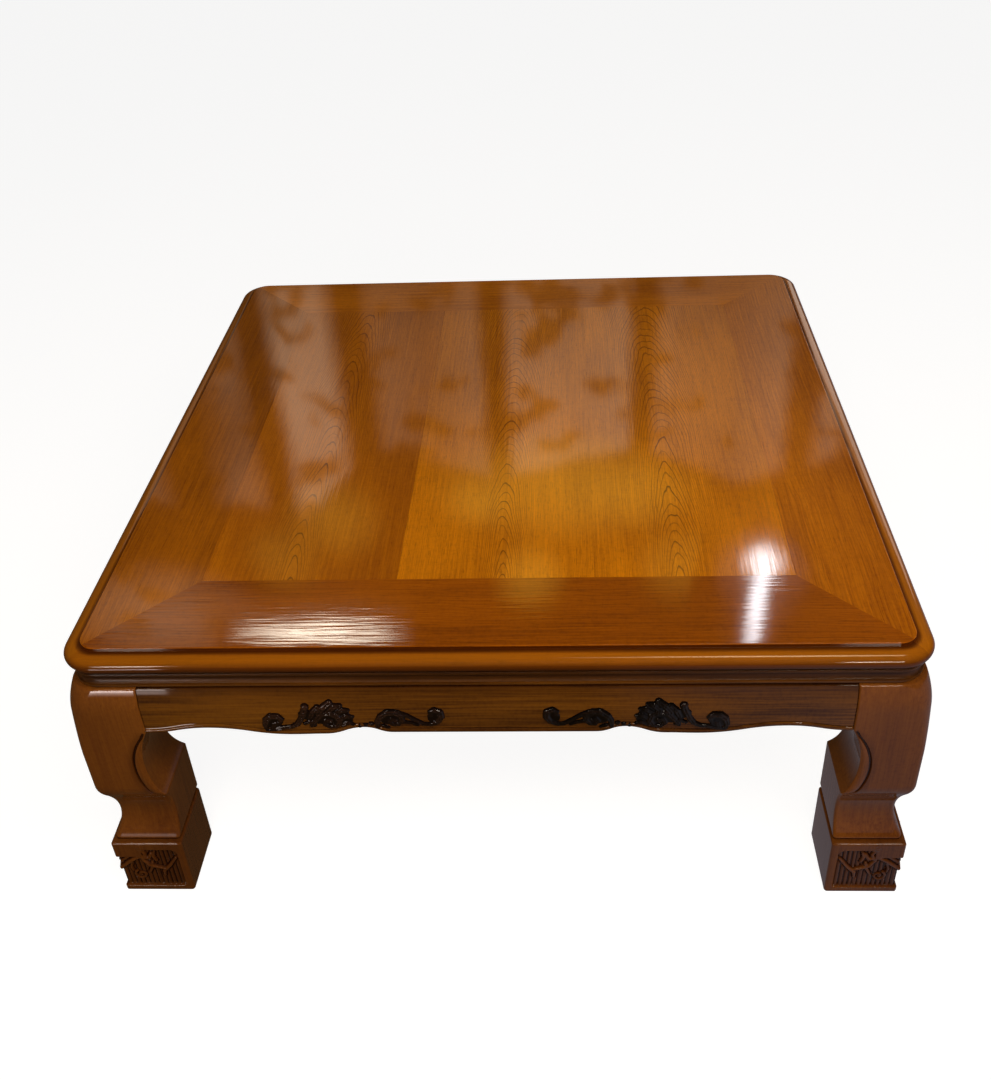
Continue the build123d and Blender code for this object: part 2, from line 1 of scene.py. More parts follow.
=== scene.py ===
# %% [markdown]
# # A low kang table in golden lacquered wood
# A kang table stands on the heated sitting platform of a northern Chinese house. Its square top is
# a mitred frame round three boards, over a moulded waist, four bulging aprons and four waisted
# legs on carved blocks. The joints and sizes are already fixed by the CAD model, so this lesson
# starts from that model and gives every wooden piece its fine shape and its finish.

# %% Load the fixed frame
import math

import bmesh
import bpy
import numpy as np
from mathutils import Matrix, Vector


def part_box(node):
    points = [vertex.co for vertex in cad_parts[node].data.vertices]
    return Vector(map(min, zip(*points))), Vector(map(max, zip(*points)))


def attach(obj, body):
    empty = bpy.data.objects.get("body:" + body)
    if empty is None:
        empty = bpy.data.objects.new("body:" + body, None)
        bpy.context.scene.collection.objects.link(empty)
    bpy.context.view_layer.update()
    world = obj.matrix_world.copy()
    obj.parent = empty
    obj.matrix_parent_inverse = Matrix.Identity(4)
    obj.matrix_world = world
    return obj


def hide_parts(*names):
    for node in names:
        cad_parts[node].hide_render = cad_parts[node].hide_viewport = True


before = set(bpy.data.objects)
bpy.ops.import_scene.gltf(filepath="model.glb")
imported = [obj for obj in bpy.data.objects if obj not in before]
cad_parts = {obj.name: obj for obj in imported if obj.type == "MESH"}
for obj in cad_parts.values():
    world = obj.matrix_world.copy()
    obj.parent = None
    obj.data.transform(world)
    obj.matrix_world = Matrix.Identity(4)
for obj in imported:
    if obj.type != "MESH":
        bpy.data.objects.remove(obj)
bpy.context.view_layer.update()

MM = 0.001

# %% [markdown]
# ## Sizes that come from the frame
# A maker would set out every piece from the edge of the top. The same habit works here: the edge,
# the levels and the thicknesses are read from the boxes of the CAD nodes, in millimetres, and each
# profile below is drawn as inset from that edge and height over the floor.


# %% Read the main sizes
def box_mm(node):
    """Both ends of a node's box, in mm."""
    low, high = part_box(node)
    return np.array(low) / MM, np.array(high) / MM


rail_low, rail_high = box_mm("top_frame_left")
waist_low = box_mm("waist_front")[0]
leg_low, leg_high = box_mm("leg_front_left")
foot_low, foot_high = box_mm("foot_front_left")

EDGE_X = -rail_low[0]
EDGE_Y = -box_mm("top_frame_front")[0][1]
TOP = rail_high[2]
RAIL_BOTTOM = rail_low[2]
RAIL_WIDTH = rail_high[0] - rail_low[0]
WAIST_BOTTOM = waist_low[2]
FOOT_TOP = foot_high[2]
LEG_SIZE = EDGE_X + leg_high[0]
LEG_PROUD = -EDGE_X - leg_low[0]
FOOT_PROUD = -EDGE_X - foot_low[0]
FOOT_INNER = EDGE_X + foot_high[0]
CORNER_RADIUS = 35.0
print("edge", EDGE_X, EDGE_Y, "top", TOP, "rail", RAIL_WIDTH)
print("waist", WAIST_BOTTOM, "leg", LEG_SIZE, "foot", FOOT_TOP)

# %% [markdown]
# ## Two helpers for places
# The table is the same seen from each of its four sides. A point is therefore drawn once, either in
# the section of a side or in the plan of a corner, and turned into place by quarter turns.

# %% Turn a side or a corner into place
# Each side: its quarter turn, half its length, and how far its edge lies from the middle.
SIDES = {
    "front": (0, EDGE_X, EDGE_Y),
    "right": (90, EDGE_Y, EDGE_X),
    "back": (180, EDGE_X, EDGE_Y),
    "left": (270, EDGE_Y, EDGE_X),
}
# Each corner: its quarter turn, and where the two edges would meet.
CORNERS = {
    "front_left": (0, -EDGE_X, -EDGE_Y),
    "front_right": (90, EDGE_X, -EDGE_Y),
    "back_right": (180, EDGE_X, EDGE_Y),
    "back_left": (270, -EDGE_X, EDGE_Y),
}


def on_side(side, run, inset, height):
    """Points given as distance along a side, inset from the edge and height, in world mm."""
    angle, _, reach = SIDES[side]
    turn = math.radians(angle)
    run, inset, height = np.broadcast_arrays(run, inset, height)
    depth = reach - inset
    x = math.cos(turn) * run + math.sin(turn) * depth
    y = math.sin(turn) * run - math.cos(turn) * depth
    return np.stack([x, y, height], axis=-1)


def on_corner(corner, u, v, height):
    """Points given as the two insets at a corner and height, in world mm."""
    angle, x0, y0 = CORNERS[corner]
    turn = math.radians(angle)
    u, v, height = np.broadcast_arrays(u, v, height)
    x = x0 + math.cos(turn) * u - math.sin(turn) * v
    y = y0 + math.sin(turn) * u + math.cos(turn) * v
    return np.stack([x, y, height], axis=-1)


def arc(centre_x, centre_y, reach, rise, start, end, steps):
    """Points along part of an ellipse, from one angle to another."""
    angles = np.radians(np.linspace(start, end, steps + 1))
    return [(centre_x + reach * math.cos(a), centre_y + rise * math.sin(a)) for a in angles]


# %% [markdown]
# ## Two helpers for meshes
# Rails, waist, aprons, legs and feet are all closed sections repeated along a line. Such a mesh is
# a grid of quads with a cap at each end. Doubled points, as at a mitre, are welded, and edges
# sharper than a set angle stay crisp while the rest is smooth.


# %% Skin a row of sections, and make a piece of the result
def skin(sections):
    """Vertices and faces of a tube through closed sections, with both ends capped."""
    sections = np.asarray(sections, float)
    count, width = sections.shape[:2]
    index = np.arange(count * width).reshape(count, width)
    after = np.roll(index, -1, axis=1)
    quads = np.stack([index[:-1], after[:-1], after[1:], index[1:]], axis=-1).reshape(-1, 4)
    faces = quads.tolist() + [index[0][::-1].tolist(), index[-1].tolist()]
    return sections.reshape(-1, 3), faces


WELD = 1e-6  # metres
NEEDLE = 1e-7


def make_piece(name, skinned, material, shade_and_stain, nodes=(), crease=32):
    """One piece of the table from vertices in mm and faces, riding on the table's only body."""
    vertices, faces = skinned
    mesh = bpy.data.meshes.new(name)
    mesh.from_pydata((np.asarray(vertices) * MM).tolist(), [], faces)
    # Per-vertex darkening: painted shade in hollows, grooves and under mouldings, with the dark
    # apron joints and a darkening of the feet.
    mesh.attributes.new("shade_and_stain", "FLOAT", "POINT").data.foreach_set("value", np.ravel(shade_and_stain))
    shape = bmesh.new()
    shape.from_mesh(mesh)
    bmesh.ops.remove_doubles(shape, verts=shape.verts, dist=WELD)
    bmesh.ops.dissolve_degenerate(shape, edges=shape.edges, dist=NEEDLE)
    bmesh.ops.recalc_face_normals(shape, faces=shape.faces)
    shape.to_mesh(mesh)
    shape.free()
    mesh.shade_smooth()
    mesh.set_sharp_from_angle(angle=math.radians(crease))
    mesh.materials.append(material)
    piece = bpy.data.objects.new(name, mesh)
    bpy.context.scene.collection.objects.link(piece)
    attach(piece, "root")
    if nodes:
        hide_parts(*nodes)
    flats = piece.modifiers.new("flats_stay_flat", "WEIGHTED_NORMAL")
    flats.keep_sharp = True
    print(name, len(mesh.polygons), "faces")


# %% [markdown]
# ## Wood under lacquer
# The wood is an elm-like timber under thick amber lacquer. Its figure is not painted on: growth
# rings are cones round the pith of the trunk, and the saw cuts through them. A board cut far from
# the pith shows straight lines at its sides and nested arches in the middle. The shader follows
# that: it measures the distance from a slightly tilted pith line, bends it a little with slow
# noise, and turns it into rings with a dark late edge. Fine fibres and short pores run along the
# grain. Painted shade lies in the hollows, in the grooves and under the mouldings, and the joints
# of the aprons and the feet are darkened as well: each vertex carries its share, and the tone
# darkens by that share. A painted highlight makes the nose of the top's moulding paler. The lacquer
# is the shader's clear coat, with a faint unevenness of its own.


# %% Arithmetic with shader nodes
def colour(red, green, blue):
    """Linear colour from the usual 0 to 255 values."""
    linear = []
    for part in (red / 255, green / 255, blue / 255):
        linear.append(part / 12.92 if part < 0.04045 else ((part + 0.055) / 1.055) ** 2.4)
    return linear + [1]


def feed(node, values):
    """Sets each input of a node to a constant, or links it to a Value."""
    for socket, value in values.items():
        if isinstance(value, Value):
            node.id_data.links.new(value.socket, node.inputs[socket])
        else:
            node.inputs[socket].default_value = value


def put(kind, values, output=0, tree=None, **settings):
    """Adds a node, in the tree of the values that feed it, and gives back one of its outputs."""
    if tree is None:
        tree = next(value.socket.id_data for value in values.values() if isinstance(value, Value))
    node = tree.nodes.new(kind)
    for setting, value in settings.items():
        setattr(node, setting, value)
    feed(node, values)
    return Value(node.outputs[output])


class Value:
    """The output of a shader node; arithmetic on it adds Math nodes."""

    def __init__(self, socket):
        self.socket = socket

    def maths(self, operation, *others):
        """This value and others through one Math node."""
        return put("ShaderNodeMath", dict(enumerate((self, *others))), operation=operation)

    def __add__(self, other):
        return self.maths("ADD", other)

    def __sub__(self, other):
        return self.maths("SUBTRACT", other)

    def __rsub__(self, other):
        return put("ShaderNodeMath", {0: other, 1: self}, operation="SUBTRACT")

    def __mul__(self, other):
        return self.maths("MULTIPLY", other)

    def __truediv__(self, other):
        return self.maths("DIVIDE", other)

    def __pow__(self, other):
        return self.maths("POWER", other)

    def __abs__(self):
        return self.maths("ABSOLUTE")

    __radd__ = __add__


# %% Small helpers for shader nodes
def new_material(name):
    """A material and its shader."""
    material = bpy.data.materials.new(name)
    material.use_nodes = True
    return material, material.node_tree.nodes["Principled BSDF"]


def own_place(shader):
    """Places on the object's own axes, in metres."""
    return put("ShaderNodeTexCoord", {}, "Object", shader.id_data)


def split(place):
    """The three coordinates of a place."""
    first = put("ShaderNodeSeparateXYZ", {0: place})
    return [Value(output) for output in first.socket.node.outputs]


def noise(place, stretch, detail=2.0, shift=0.0, roughness=0.5):
    """Noise over a place; stretch is how often it changes along each axis."""
    values = {0: place, 1: stretch, 2: (shift, shift * 1.7, shift * 0.6)}
    moved = put("ShaderNodeVectorMath", values, operation="MULTIPLY_ADD")
    values = {"Vector": moved, "Scale": 1.0, "Detail": detail, "Roughness": roughness}
    return put("ShaderNodeTexNoise", values)


def ramp(factor, stops):
    """Greyscale ramp through (place, value) stops."""
    grey = put("ShaderNodeValToRGB", {"Fac": factor})
    elements = grey.socket.node.color_ramp.elements
    while len(elements) < len(stops):
        elements.new(0.5)
    for element, (place, value) in zip(elements, stops):
        element.position = place
        element.color = (value, value, value, 1)
    return grey


def span(value, low, high, start=0.0, stop=1.0):
    """Carries a value from the range low to high over to start to stop, and holds it there."""
    values = {"Value": value, "From Min": low, "From Max": high, "To Min": start, "To Max": stop}
    return put("ShaderNodeMapRange", values)


def blend(factor, first, second, mode="MIX"):
    """Mixes two colours."""
    values = {0: factor, 6: first, 7: second}
    return put("ShaderNodeMix", values, 2, data_type="RGBA", blend_type=mode)


# %% Growth rings
# Each mark in the wood: changes per mm across and along the grain, detail, shift and roughness.
MARKS = {
    "drift": (0.006, 0.004, 1.0, 0.0, 0.5),
    "swell": (0.012, 0.006, 1.5, 7.0, 0.5),
    "uneven": (0.05, 0.014, 3.0, 3.0, 0.5),
    "coarse": (0.42, 0.008, 3.0, 11.0, 0.6),
    "fine": (1.1, 0.02, 3.0, 13.0, 0.6),
    "flecks": (0.2, 0.32, 2.0, 19.0, 0.5),
    "patches": (0.012, 0.0035, 2.0, 23.0, 0.5),
    "pores": (1.5, 0.07, 2.0, 17.0, 0.5),
    "slow": (0.02, 0.008, 1.0, 31.0, 0.5),
    "brushed": (0.32, 0.02, 1.0, 37.0, 0.5),
}
WANDER_ACROSS = 16.0  # mm that the pith strays sideways
WANDER_DEEP = 6.0  # and up or down
UNEVENNESS = 1.9  # rings by which the noise shifts a line


def mark(place, kind, shift):
    """Noise of one kind of mark in the wood."""
    across, along, detail, own_shift, roughness = MARKS[kind]
    return noise(place, (across, along, across), detail, shift + own_shift, roughness)


def pith_distance(place, pith, tilt, squeeze, shift):
    """Distance from the pith line, and how steeply the rings meet the surface, 0 to 1."""
    across, along, height = split(place)
    drift = mark(place, "drift", shift) * (2 * WANDER_ACROSS) - WANDER_ACROSS
    swell = mark(place, "swell", shift) * (2 * WANDER_DEEP) - WANDER_DEEP
    across = abs(across + drift - pith[0]) * squeeze
    below = along * tilt + (pith[1] - TOP) + height + swell
    distance = (across * across + below * below).maths("SQRT")
    return distance, across / distance


def ring_lines(rings, slope):
    """Dark late wood: thin where a ring lies flat in the surface, broader where it stands."""
    share = slope * 0.22 + 0.17
    line = span(rings.maths("FRACT"), 1 - share, 1 - share * 0.4)
    year = put("ShaderNodeTexWhiteNoise", {"W": rings.maths("FLOOR")}, noise_dimensions="1D")
    strength = year * 0.6 + 0.4
    flank = 1 - slope**3.0 * 0.8
    return line * (strength * flank)


# %% The wood itself
ALONG_Y = (0, 0, 0)
ALONG_X = (0, 0, math.radians(90))
ALONG_Z = (math.radians(90), 0, 0)
# Tint that the per-vertex darkening multiplies in: mostly painted shade, partly dark joints.
SHADE_AND_STAIN_TINT = (0.16, 0.10, 0.10, 1)
LATE_DARKNESS = 0.45
FLECK_SHARE = 0.12
NOSE_HIGHLIGHT_FROM = 3.0  # mm below the top, where the painted highlight on the nose sets in
NOSE_HIGHLIGHT_TO = 4.5


def lacquered_wood(
    name, pale, deep, grain, pith=(0.0, 60.0), tilt=0.0, ring=2.6, late=0.7, shift=0.0,
    coat=0.055, fibre=0.34, patch=0.3, squeeze=1.0, pore=0.35, brush=0.07, painted_light=None,
):
    """Wood with rings round a pith at (across, below the top), rising by tilt along the grain."""
    material, shader = new_material(name)
    values = {"Vector": own_place(shader), "Rotation": grain, "Scale": (1 / MM, 1 / MM, 1 / MM)}
    place = put("ShaderNodeMapping", values, vector_type="POINT")

    distance, slope = pith_distance(place, pith, tilt, squeeze, shift)
    rings = distance / ring + mark(place, "uneven", shift) * UNEVENNESS
    lines = ring_lines(rings, slope)

    fine = mark(place, "fine", shift)
    strands = mark(place, "coarse", shift) * 0.6 + fine * 0.4
    strands = ramp(strands, [(0.36, 0.0), (0.64, 1.0)])
    flecks = ramp(mark(place, "flecks", shift), [(0.45, 0.0), (0.75, 1.0)])
    patches = ramp(mark(place, "patches", shift), [(0.35, 0.0), (0.65, 1.0)])
    pores = ramp(mark(place, "pores", shift), [(0.56, 0.0), (0.68, 1.0)])

    dark = strands * fibre + patches * patch + flecks * FLECK_SHARE
    black = [channel * LATE_DARKNESS for channel in deep[:3]] + [1]
    tone = blend(dark.maths("MINIMUM", 1.0), pale, deep)
    tone = blend(lines * late, tone, black)
    tone = blend(pores * pore, tone, black)
    # Painted highlight: the nose of the moulding is blended towards a paler gold, as if lit from
    # the front.
    if painted_light:
        low = span(split(place)[2], TOP - NOSE_HIGHLIGHT_FROM, TOP - NOSE_HIGHLIGHT_TO)
        tone = blend(low * 0.5, tone, painted_light)
    # The tone darkens by each vertex's share of painted shade and joint darkening.
    shade_and_stain = put("ShaderNodeAttribute", {}, "Fac", shader.id_data, attribute_name="shade_and_stain")
    tone = blend(shade_and_stain, tone, SHADE_AND_STAIN_TINT, "MULTIPLY")

    relief = lines * 0.3 - pores
    bump = put("ShaderNodeBump", {"Strength": 0.25, "Distance": 0.0001, "Height": relief})
    waves = mark(place, "brushed", shift) * brush + mark(place, "slow", shift) * 0.5
    coat_bump = put("ShaderNodeBump", {"Strength": 0.6, "Distance": 0.0004, "Height": waves})
    feed(shader, {
        "Base Color": tone, "Roughness": fine * 0.2 + 0.35, "Specular IOR Level": 0.05,
        "Coat Weight": 1.0, "Coat Roughness": coat, "Coat IOR": 1.5,
        "Normal": bump, "Coat Normal": coat_bump,
    })
    return material


# %% The finishes of this table
GOLD_PALE = colour(232, 142, 7)
GOLD_DEEP = colour(116, 50, 2)
# Colour of the painted highlight on the nose of the top's moulding.
NOSE_HIGHLIGHT_GOLD = colour(180, 111, 15)
LEG_PALE = colour(134, 78, 24)
LEG_DEEP = colour(70, 32, 12)
APRON_PALE = colour(136, 84, 20)
APRON_DEEP = colour(58, 29, 9)
BOARDS = (
    (colour(208, 123, 5), (-205.0, 48.0), 0.11, 2.5, 0.0),
    (GOLD_PALE, (6.0, 52.0), 0.12, 2.1, 40.0),
    (GOLD_PALE, (179.0, 54.0), 0.12, 2.5, 80.0),
)
finish = {}
for number, (pale, pith, tilt, ring, shift) in enumerate(BOARDS, start=1):
    finish[f"board_{number}"] = lacquered_wood(
        f"golden_lacquer_board_{number}", pale, GOLD_DEEP, ALONG_Y,
        pith=pith, tilt=tilt, ring=ring, shift=shift, late=0.9, squeeze=1.55,
    )
for side, grain, pale, deep, brush in (
    ("front", ALONG_X, colour(178, 96, 3), colour(94, 41, 2), 0.16),
    ("back", ALONG_X, colour(224, 134, 6), GOLD_DEEP, 0.07),
    ("left", ALONG_Y, colour(190, 110, 4), colour(100, 46, 2), 0.07),
    ("right", ALONG_Y, colour(218, 129, 6), GOLD_DEEP, 0.07),
):
    finish[f"rail_{side}"] = lacquered_wood(
        f"lacquer_rail_{side}", pale, deep, grain, pith=(150.0, 320.0), ring=2.0,
        late=0.3, shift=10.0 * len(side), fibre=0.4, painted_light=NOSE_HIGHLIGHT_GOLD, brush=brush,
    )
for name, grain, pale, deep, fibre, coat in (
    ("apron_x", ALONG_X, APRON_PALE, APRON_DEEP, 0.55, 0.055),
    ("apron_y", ALONG_Y, APRON_PALE, APRON_DEEP, 0.55, 0.055),
    ("waist_x", ALONG_X, APRON_PALE, APRON_DEEP, 0.55, 0.35),
    ("waist_y", ALONG_Y, APRON_PALE, APRON_DEEP, 0.55, 0.35),
    ("leg", ALONG_Z, LEG_PALE, LEG_DEEP, 0.3, 0.055),
):
    finish[name] = lacquered_wood(
        f"brown_lacquer_{name}", pale, deep, grain, pith=(900.0, 250.0), ring=3.2,
        late=0.1, shift=5.0, fibre=fibre, patch=0.45, pore=0.2, coat=coat,
    )
finish["raw"] = lacquered_wood(
    "raw_wood", colour(176, 132, 84), colour(120, 80, 44), ALONG_X, ring=3.0, late=0.4, coat=0.5
)
print("finishes:", sorted(finish))

# %% [markdown]
# ## The moulded frame of the top
# Each of the four members is one moulding: a raised field, a narrow ledge with its line of shadow,
# and a rounded nose. Sweeping the section along the edge, with a quarter of a circle at each
# corner, gives the moulding; inside the rounding the section closes up on the mitre line. The
# alternative, a bevel on a block, could not give the step and the nose together. Painted shade
# darkens the foot of the arris, the corner of the ledge and the underside of the nose, while a
# painted highlight makes the nose itself paler.

# %% Draw the section of the top and sweep it along each side
FIELD_INSET = 17.0
FIELD_STEP = 4.0
ARRIS = 0.9
LEDGE = 3.0
CORNER = 0.6  # rounding of the corner between field and ledge
NOSE_RISE = 8.0
NOSE_UNDER = 7.0
CORNER_STEPS = 14
ledge_level = TOP - FIELD_STEP
nose_inset = FIELD_INSET - LEDGE
nose_level = ledge_level - NOSE_RISE

rail_section = (
    [(RAIL_WIDTH, RAIL_BOTTOM), (RAIL_WIDTH, TOP), (RAIL_WIDTH - 30, TOP), (60.0, TOP)]
    + arc(FIELD_INSET + ARRIS, TOP - ARRIS, ARRIS, ARRIS, 90, 180, 5)
    + arc(FIELD_INSET - CORNER, ledge_level + CORNER, CORNER, CORNER, 0, -90, 3)
    + arc(nose_inset, nose_level, nose_inset, NOSE_RISE, 90, 180, 14)
    + arc(NOSE_UNDER, nose_level, NOSE_UNDER, NOSE_UNDER, 180, 270, 12)[1:]
    + [(NOSE_UNDER + 0.4, RAIL_BOTTOM)]
)


def shaded_section(section, *darkenings):
    """Painted shade of a swept section: each (first point, end point, from, to) darkens its points.
    """
    shade = np.zeros(len(section))
    for first, end, start, stop in darkenings:
        shade[first:end] = np.linspace(start, stop, end - first)
    return np.tile(shade, 2 * (CORNER_STEPS + 1))


def mitred_sweep(side, section):
    """Sections of a moulding along one side, from mitre to mitre round the two corners."""
    half = SIDES[side][1]
    inset = np.array([point[0] for point in section])
    height = np.array([point[1] for point in section])
    radius = np.maximum(CORNER_RADIUS - inset, 0)
    turned = inset > CORNER_RADIUS
    stations = []
    for end in (-1, 1):
        angles = np.radians(np.linspace(45, 0, CORNER_STEPS + 1))
        if end > 0:
            angles = angles[::-1]
        for bend in angles:
            run = np.where(turned, half - inset, half - CORNER_RADIUS + radius * math.sin(bend))
            depth = np.where(turned, inset, CORNER_RADIUS - radius * math.cos(bend))
            stations.append(on_side(side, end * run, depth, height))
    return skin(stations)


# Painted shade on the rail: the foot of the arris, the corner of the ledge, the lower nose and the
# underside.
rail_painted_shade = shaded_section(
    rail_section, (9, 14, 0.85, 1.0), (14, 17, 0.8, 0.1), (17, 21, 0.1, 0.22), (21, 27, 0.3, 0.88),
    (27, 34, 0.88, 1.0), (34, 42, 1.0, 1.0),
)
for side in SIDES:
    make_piece(
        f"rail_{side}", mitred_sweep(side, rail_section), finish[f"rail_{side}"],
        rail_painted_shade, [f"top_frame_{side}"],
    )

# %% [markdown]
# ## Boards and battens
# The three boards and the two dovetailed battens under them are flat and exact in the CAD model,
# so those solids stay and only get their wood. Each board has its own pith, because each was cut
# from another place in the log.

# %% Give the boards and battens their wood
CARRIED = {
    "panel_board_1": "board_1",
    "panel_board_2": "board_2",
    "panel_board_3": "board_3",
    "batten_front": "raw",
    "batten_back": "raw",
    "waist_pegs": "raw",
    "foot_pegs": "raw",
}
for node, wood in CARRIED.items():
    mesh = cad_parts[node].data
    mesh.materials.clear()
    mesh.materials.append(finish[wood])
    print(node, "gets", wood)

# %% [markdown]
# ## The waist
# The recessed waist is one strip per side, cut with a small bead, a hollow cove and a thin square
# fillet. The same sweep makes it, since it follows the edge of the top at a smaller radius.

# %% Sweep the waist
BEAD_INSET = EDGE_Y + waist_low[1]
BEAD_BULGE = 1.1
BEAD_HEIGHT = 3.5
WAIST_STEP = 0.8
COVE_INSET = 9.2
FILLET_INSET = 5.5
FILLET_HEIGHT = 2.2
SHADOW = 1.6
WAIST_INNER = 27.0
bead_root = BEAD_INSET + BEAD_BULGE
cove_start = bead_root + WAIST_STEP
cove_top = RAIL_BOTTOM - BEAD_HEIGHT
cove_foot = WAIST_BOTTOM + SHADOW + FILLET_HEIGHT
cove_middle = (cove_top + cove_foot) / 2

waist_section = (
    [(WAIST_INNER, RAIL_BOTTOM)]
    + arc(bead_root, RAIL_BOTTOM - BEAD_HEIGHT / 2, BEAD_BULGE, BEAD_HEIGHT / 2, 90, 270, 12)
    + arc(cove_start, cove_middle, COVE_INSET - cove_start, (cove_top - cove_foot) / 2, 90, -90, 14)
    + [(FILLET_INSET, cove_foot), (FILLET_INSET, WAIST_BOTTOM + SHADOW)]
    + [(FILLET_INSET + SHADOW, WAIST_BOTTOM), (WAIST_INNER, WAIST_BOTTOM)]
)
# Painted shade on the waist under the top: over the bead and the cove, most at the top of the cove
# and under the fillet.
waist_painted_shade = shaded_section(
    waist_section, (0, 14, 0.8, 0.3), (14, 29, 1.0, 0.5), (29, 33, 0.2, 0.9)
)
GRAIN = {"front": "x", "right": "y", "back": "x", "left": "y"}
for side, grain in GRAIN.items():
    make_piece(
        f"waist_strip_{side}", mitred_sweep(side, waist_section), finish[f"waist_{grain}"],
        waist_painted_shade, [f"waist_{side}"],
    )

# %% [markdown]
# ## The aprons
# An apron bulges outward like the shoulders of the legs and ends below in a wavy edge with a
# raised bead. Every upright section has the same points, only its lower end moves with the wave,
# so a row of such sections along the side makes the whole board. Its ends are eased a little, which
# leaves the fine dark joint to the legs.

# %% Bulge and wave
APRON_FACE = -0.5
APRON_THICKNESS = 22.0
SHOULDER_HEIGHT = 29.0
SHOULDER_SETBACK = 5.0
# The wave of the lower edge: distance from the leg and depth under the waist.
WAVE = ((0.0, 53.5), (60.0, 46.8), (141.0, 56.0), (172.0, 55.3), (209.5, 46.7), (236.0, 53.5))
BEAD = 5.0
BEAD_PROUD = 1.2
JOINT_EASE = 0.9
TOP_EASE = 1.6
BACK_CHAMFER = 1
QUIRK = ((0.7, 0.35), (0.5, -0.1))  # the cut over the bead: depth, and height over the bead
TOP_POINTS = 11
QUIRK_POINTS = [18, 19]
APRON_STATIONS = 267
shoulder_foot = WAIST_BOTTOM - SHOULDER_HEIGHT
shoulder_radius = (SHOULDER_HEIGHT**2 + SHOULDER_SETBACK**2) / (2 * SHOULDER_SETBACK)


def bulge(height):
    """How far the shoulders and aprons fall back at a height."""
    rise = np.clip(np.asarray(height, float) - shoulder_foot, 0, SHOULDER_HEIGHT)
    return shoulder_radius - np.sqrt(shoulder_radius**2 - rise**2)


def apron_depth(run, half):
    """Depth of the apron under the waist at a place along it."""
    place = half - abs(run)
    for (start, first), (end, second) in zip(WAVE, WAVE[1:]):
        if start <= place <= end:
            part = (place - start) / (end - start)
            ease = 2 * part**2 if part < 0.5 else 1 - 2 * (1 - part) ** 2
            return first + (second - first) * ease
    return WAVE[-1][1]


def apron_section(side, run, half):
    """Section of an apron at a place along its side: face, quirk, bead, lower edge and back."""
    edge = WAIST_BOTTOM - apron_depth(run, half)
    line = edge + BEAD
    back = APRON_FACE + APRON_THICKNESS
    shoulder = np.linspace(WAIST_BOTTOM - TOP_EASE, shoulder_foot, 9)
    fall = [(APRON_FACE + bulge(z), z) for z in shoulder]
    crest = fall[0][0] + TOP_EASE
    top = [(crest, WAIST_BOTTOM)]
    top += arc(crest, WAIST_BOTTOM - TOP_EASE, TOP_EASE, TOP_EASE, 114, 158, 2)
    flat = [(APRON_FACE, z) for z in np.linspace(shoulder_foot - 2, line + 0.9, 5)]
    quirk = [(APRON_FACE + depth, line + over) for depth, over in QUIRK]
    bead = arc(APRON_FACE + 0.4, edge + BEAD / 2, BEAD_PROUD + 0.4, BEAD / 2 - 0.15, 90, 270, 10)
    under = [
        (APRON_FACE + BEAD_PROUD, edge), (back - BACK_CHAMFER, edge), (back, edge + BACK_CHAMFER),
        (back, WAIST_BOTTOM),
    ]
    points = np.array(top + fall + flat + quirk + bead + under)
    ease = max(abs(run) - half + JOINT_EASE, 0)
    depth = np.where(points[:, 0] < APRON_FACE + 6, points[:, 0] + ease, points[:, 0])
    return on_side(side, run, depth, points[:, 1])


def apron(side):
    """Sections of an apron; painted shade at its top and in the quirk, dark joints at both ends."""
    half = SIDES[side][1] - LEG_SIZE
    runs = np.linspace(-half, half, APRON_STATIONS)
    runs = np.sort(np.append(runs, [JOINT_EASE - half, half - JOINT_EASE]))
    sections = np.array([apron_section(side, run, half) for run in runs])
    # Painted shade under the waist and in the quirk, a little over the bead and underside; the dark
    # joint at both ends.
    shade_and_stain = np.zeros(sections.shape[:2])
    shade_and_stain[:, :TOP_POINTS] = np.linspace(0.95, 0.0, TOP_POINTS)
    shade_and_stain[:, QUIRK_POINTS] = 0.9
    shade_and_stain[:, QUIRK_POINTS[-1] + 1:] = 0.3
    shade_and_stain[[0, -1]] = 1.0
    return skin(sections), shade_and_stain


for side, grain in GRAIN.items():
    shape, shade_and_stain = apron(side)
    make_piece(
        f"apron_board_{side}", shape, finish[f"apron_{grain}"], shade_and_stain, [f"apron_{side}"]
    )

# %% [markdown]
# ## The legs
# Each leg is sawn from one thick post: a bulged shoulder, a flat, a knee with a sharp lower edge,
# an undercut and an ankle. Its inner sides are hollowed, and a beaded band follows the hollow as
# the aprons' bead goes on down the leg. A leg is therefore a stack of plan sections, each drawn
# from the profile at its height.

# %% Profiles of a leg by height
ROUNDING_TOP = 25.0
ROUNDING = 6.0
ROUNDING_END = 205.0
KNEE_TOP = 160.0
KNEE_EDGE = 145.0
KNEE_SETBACK = 3.5
THIN_LEVEL = 115.0
THIN_INSET = 10.0
NECK_HEIGHT = 3.0
NECK_RECESS = 4.5
HOLLOW_DEPTH = 11.5
HOLLOW_FOOT = 146.0
BAND_WIDTH = 10.0
GROOVE_FOOT = (57.0, 150.0)
GROOVE_FADE = 4.0
leg_bottom = FOOT_TOP + NECK_HEIGHT
hollow_top = WAIST_BOTTOM - WAVE[0][1]
hollow_middle = (hollow_top + HOLLOW_FOOT) / 2


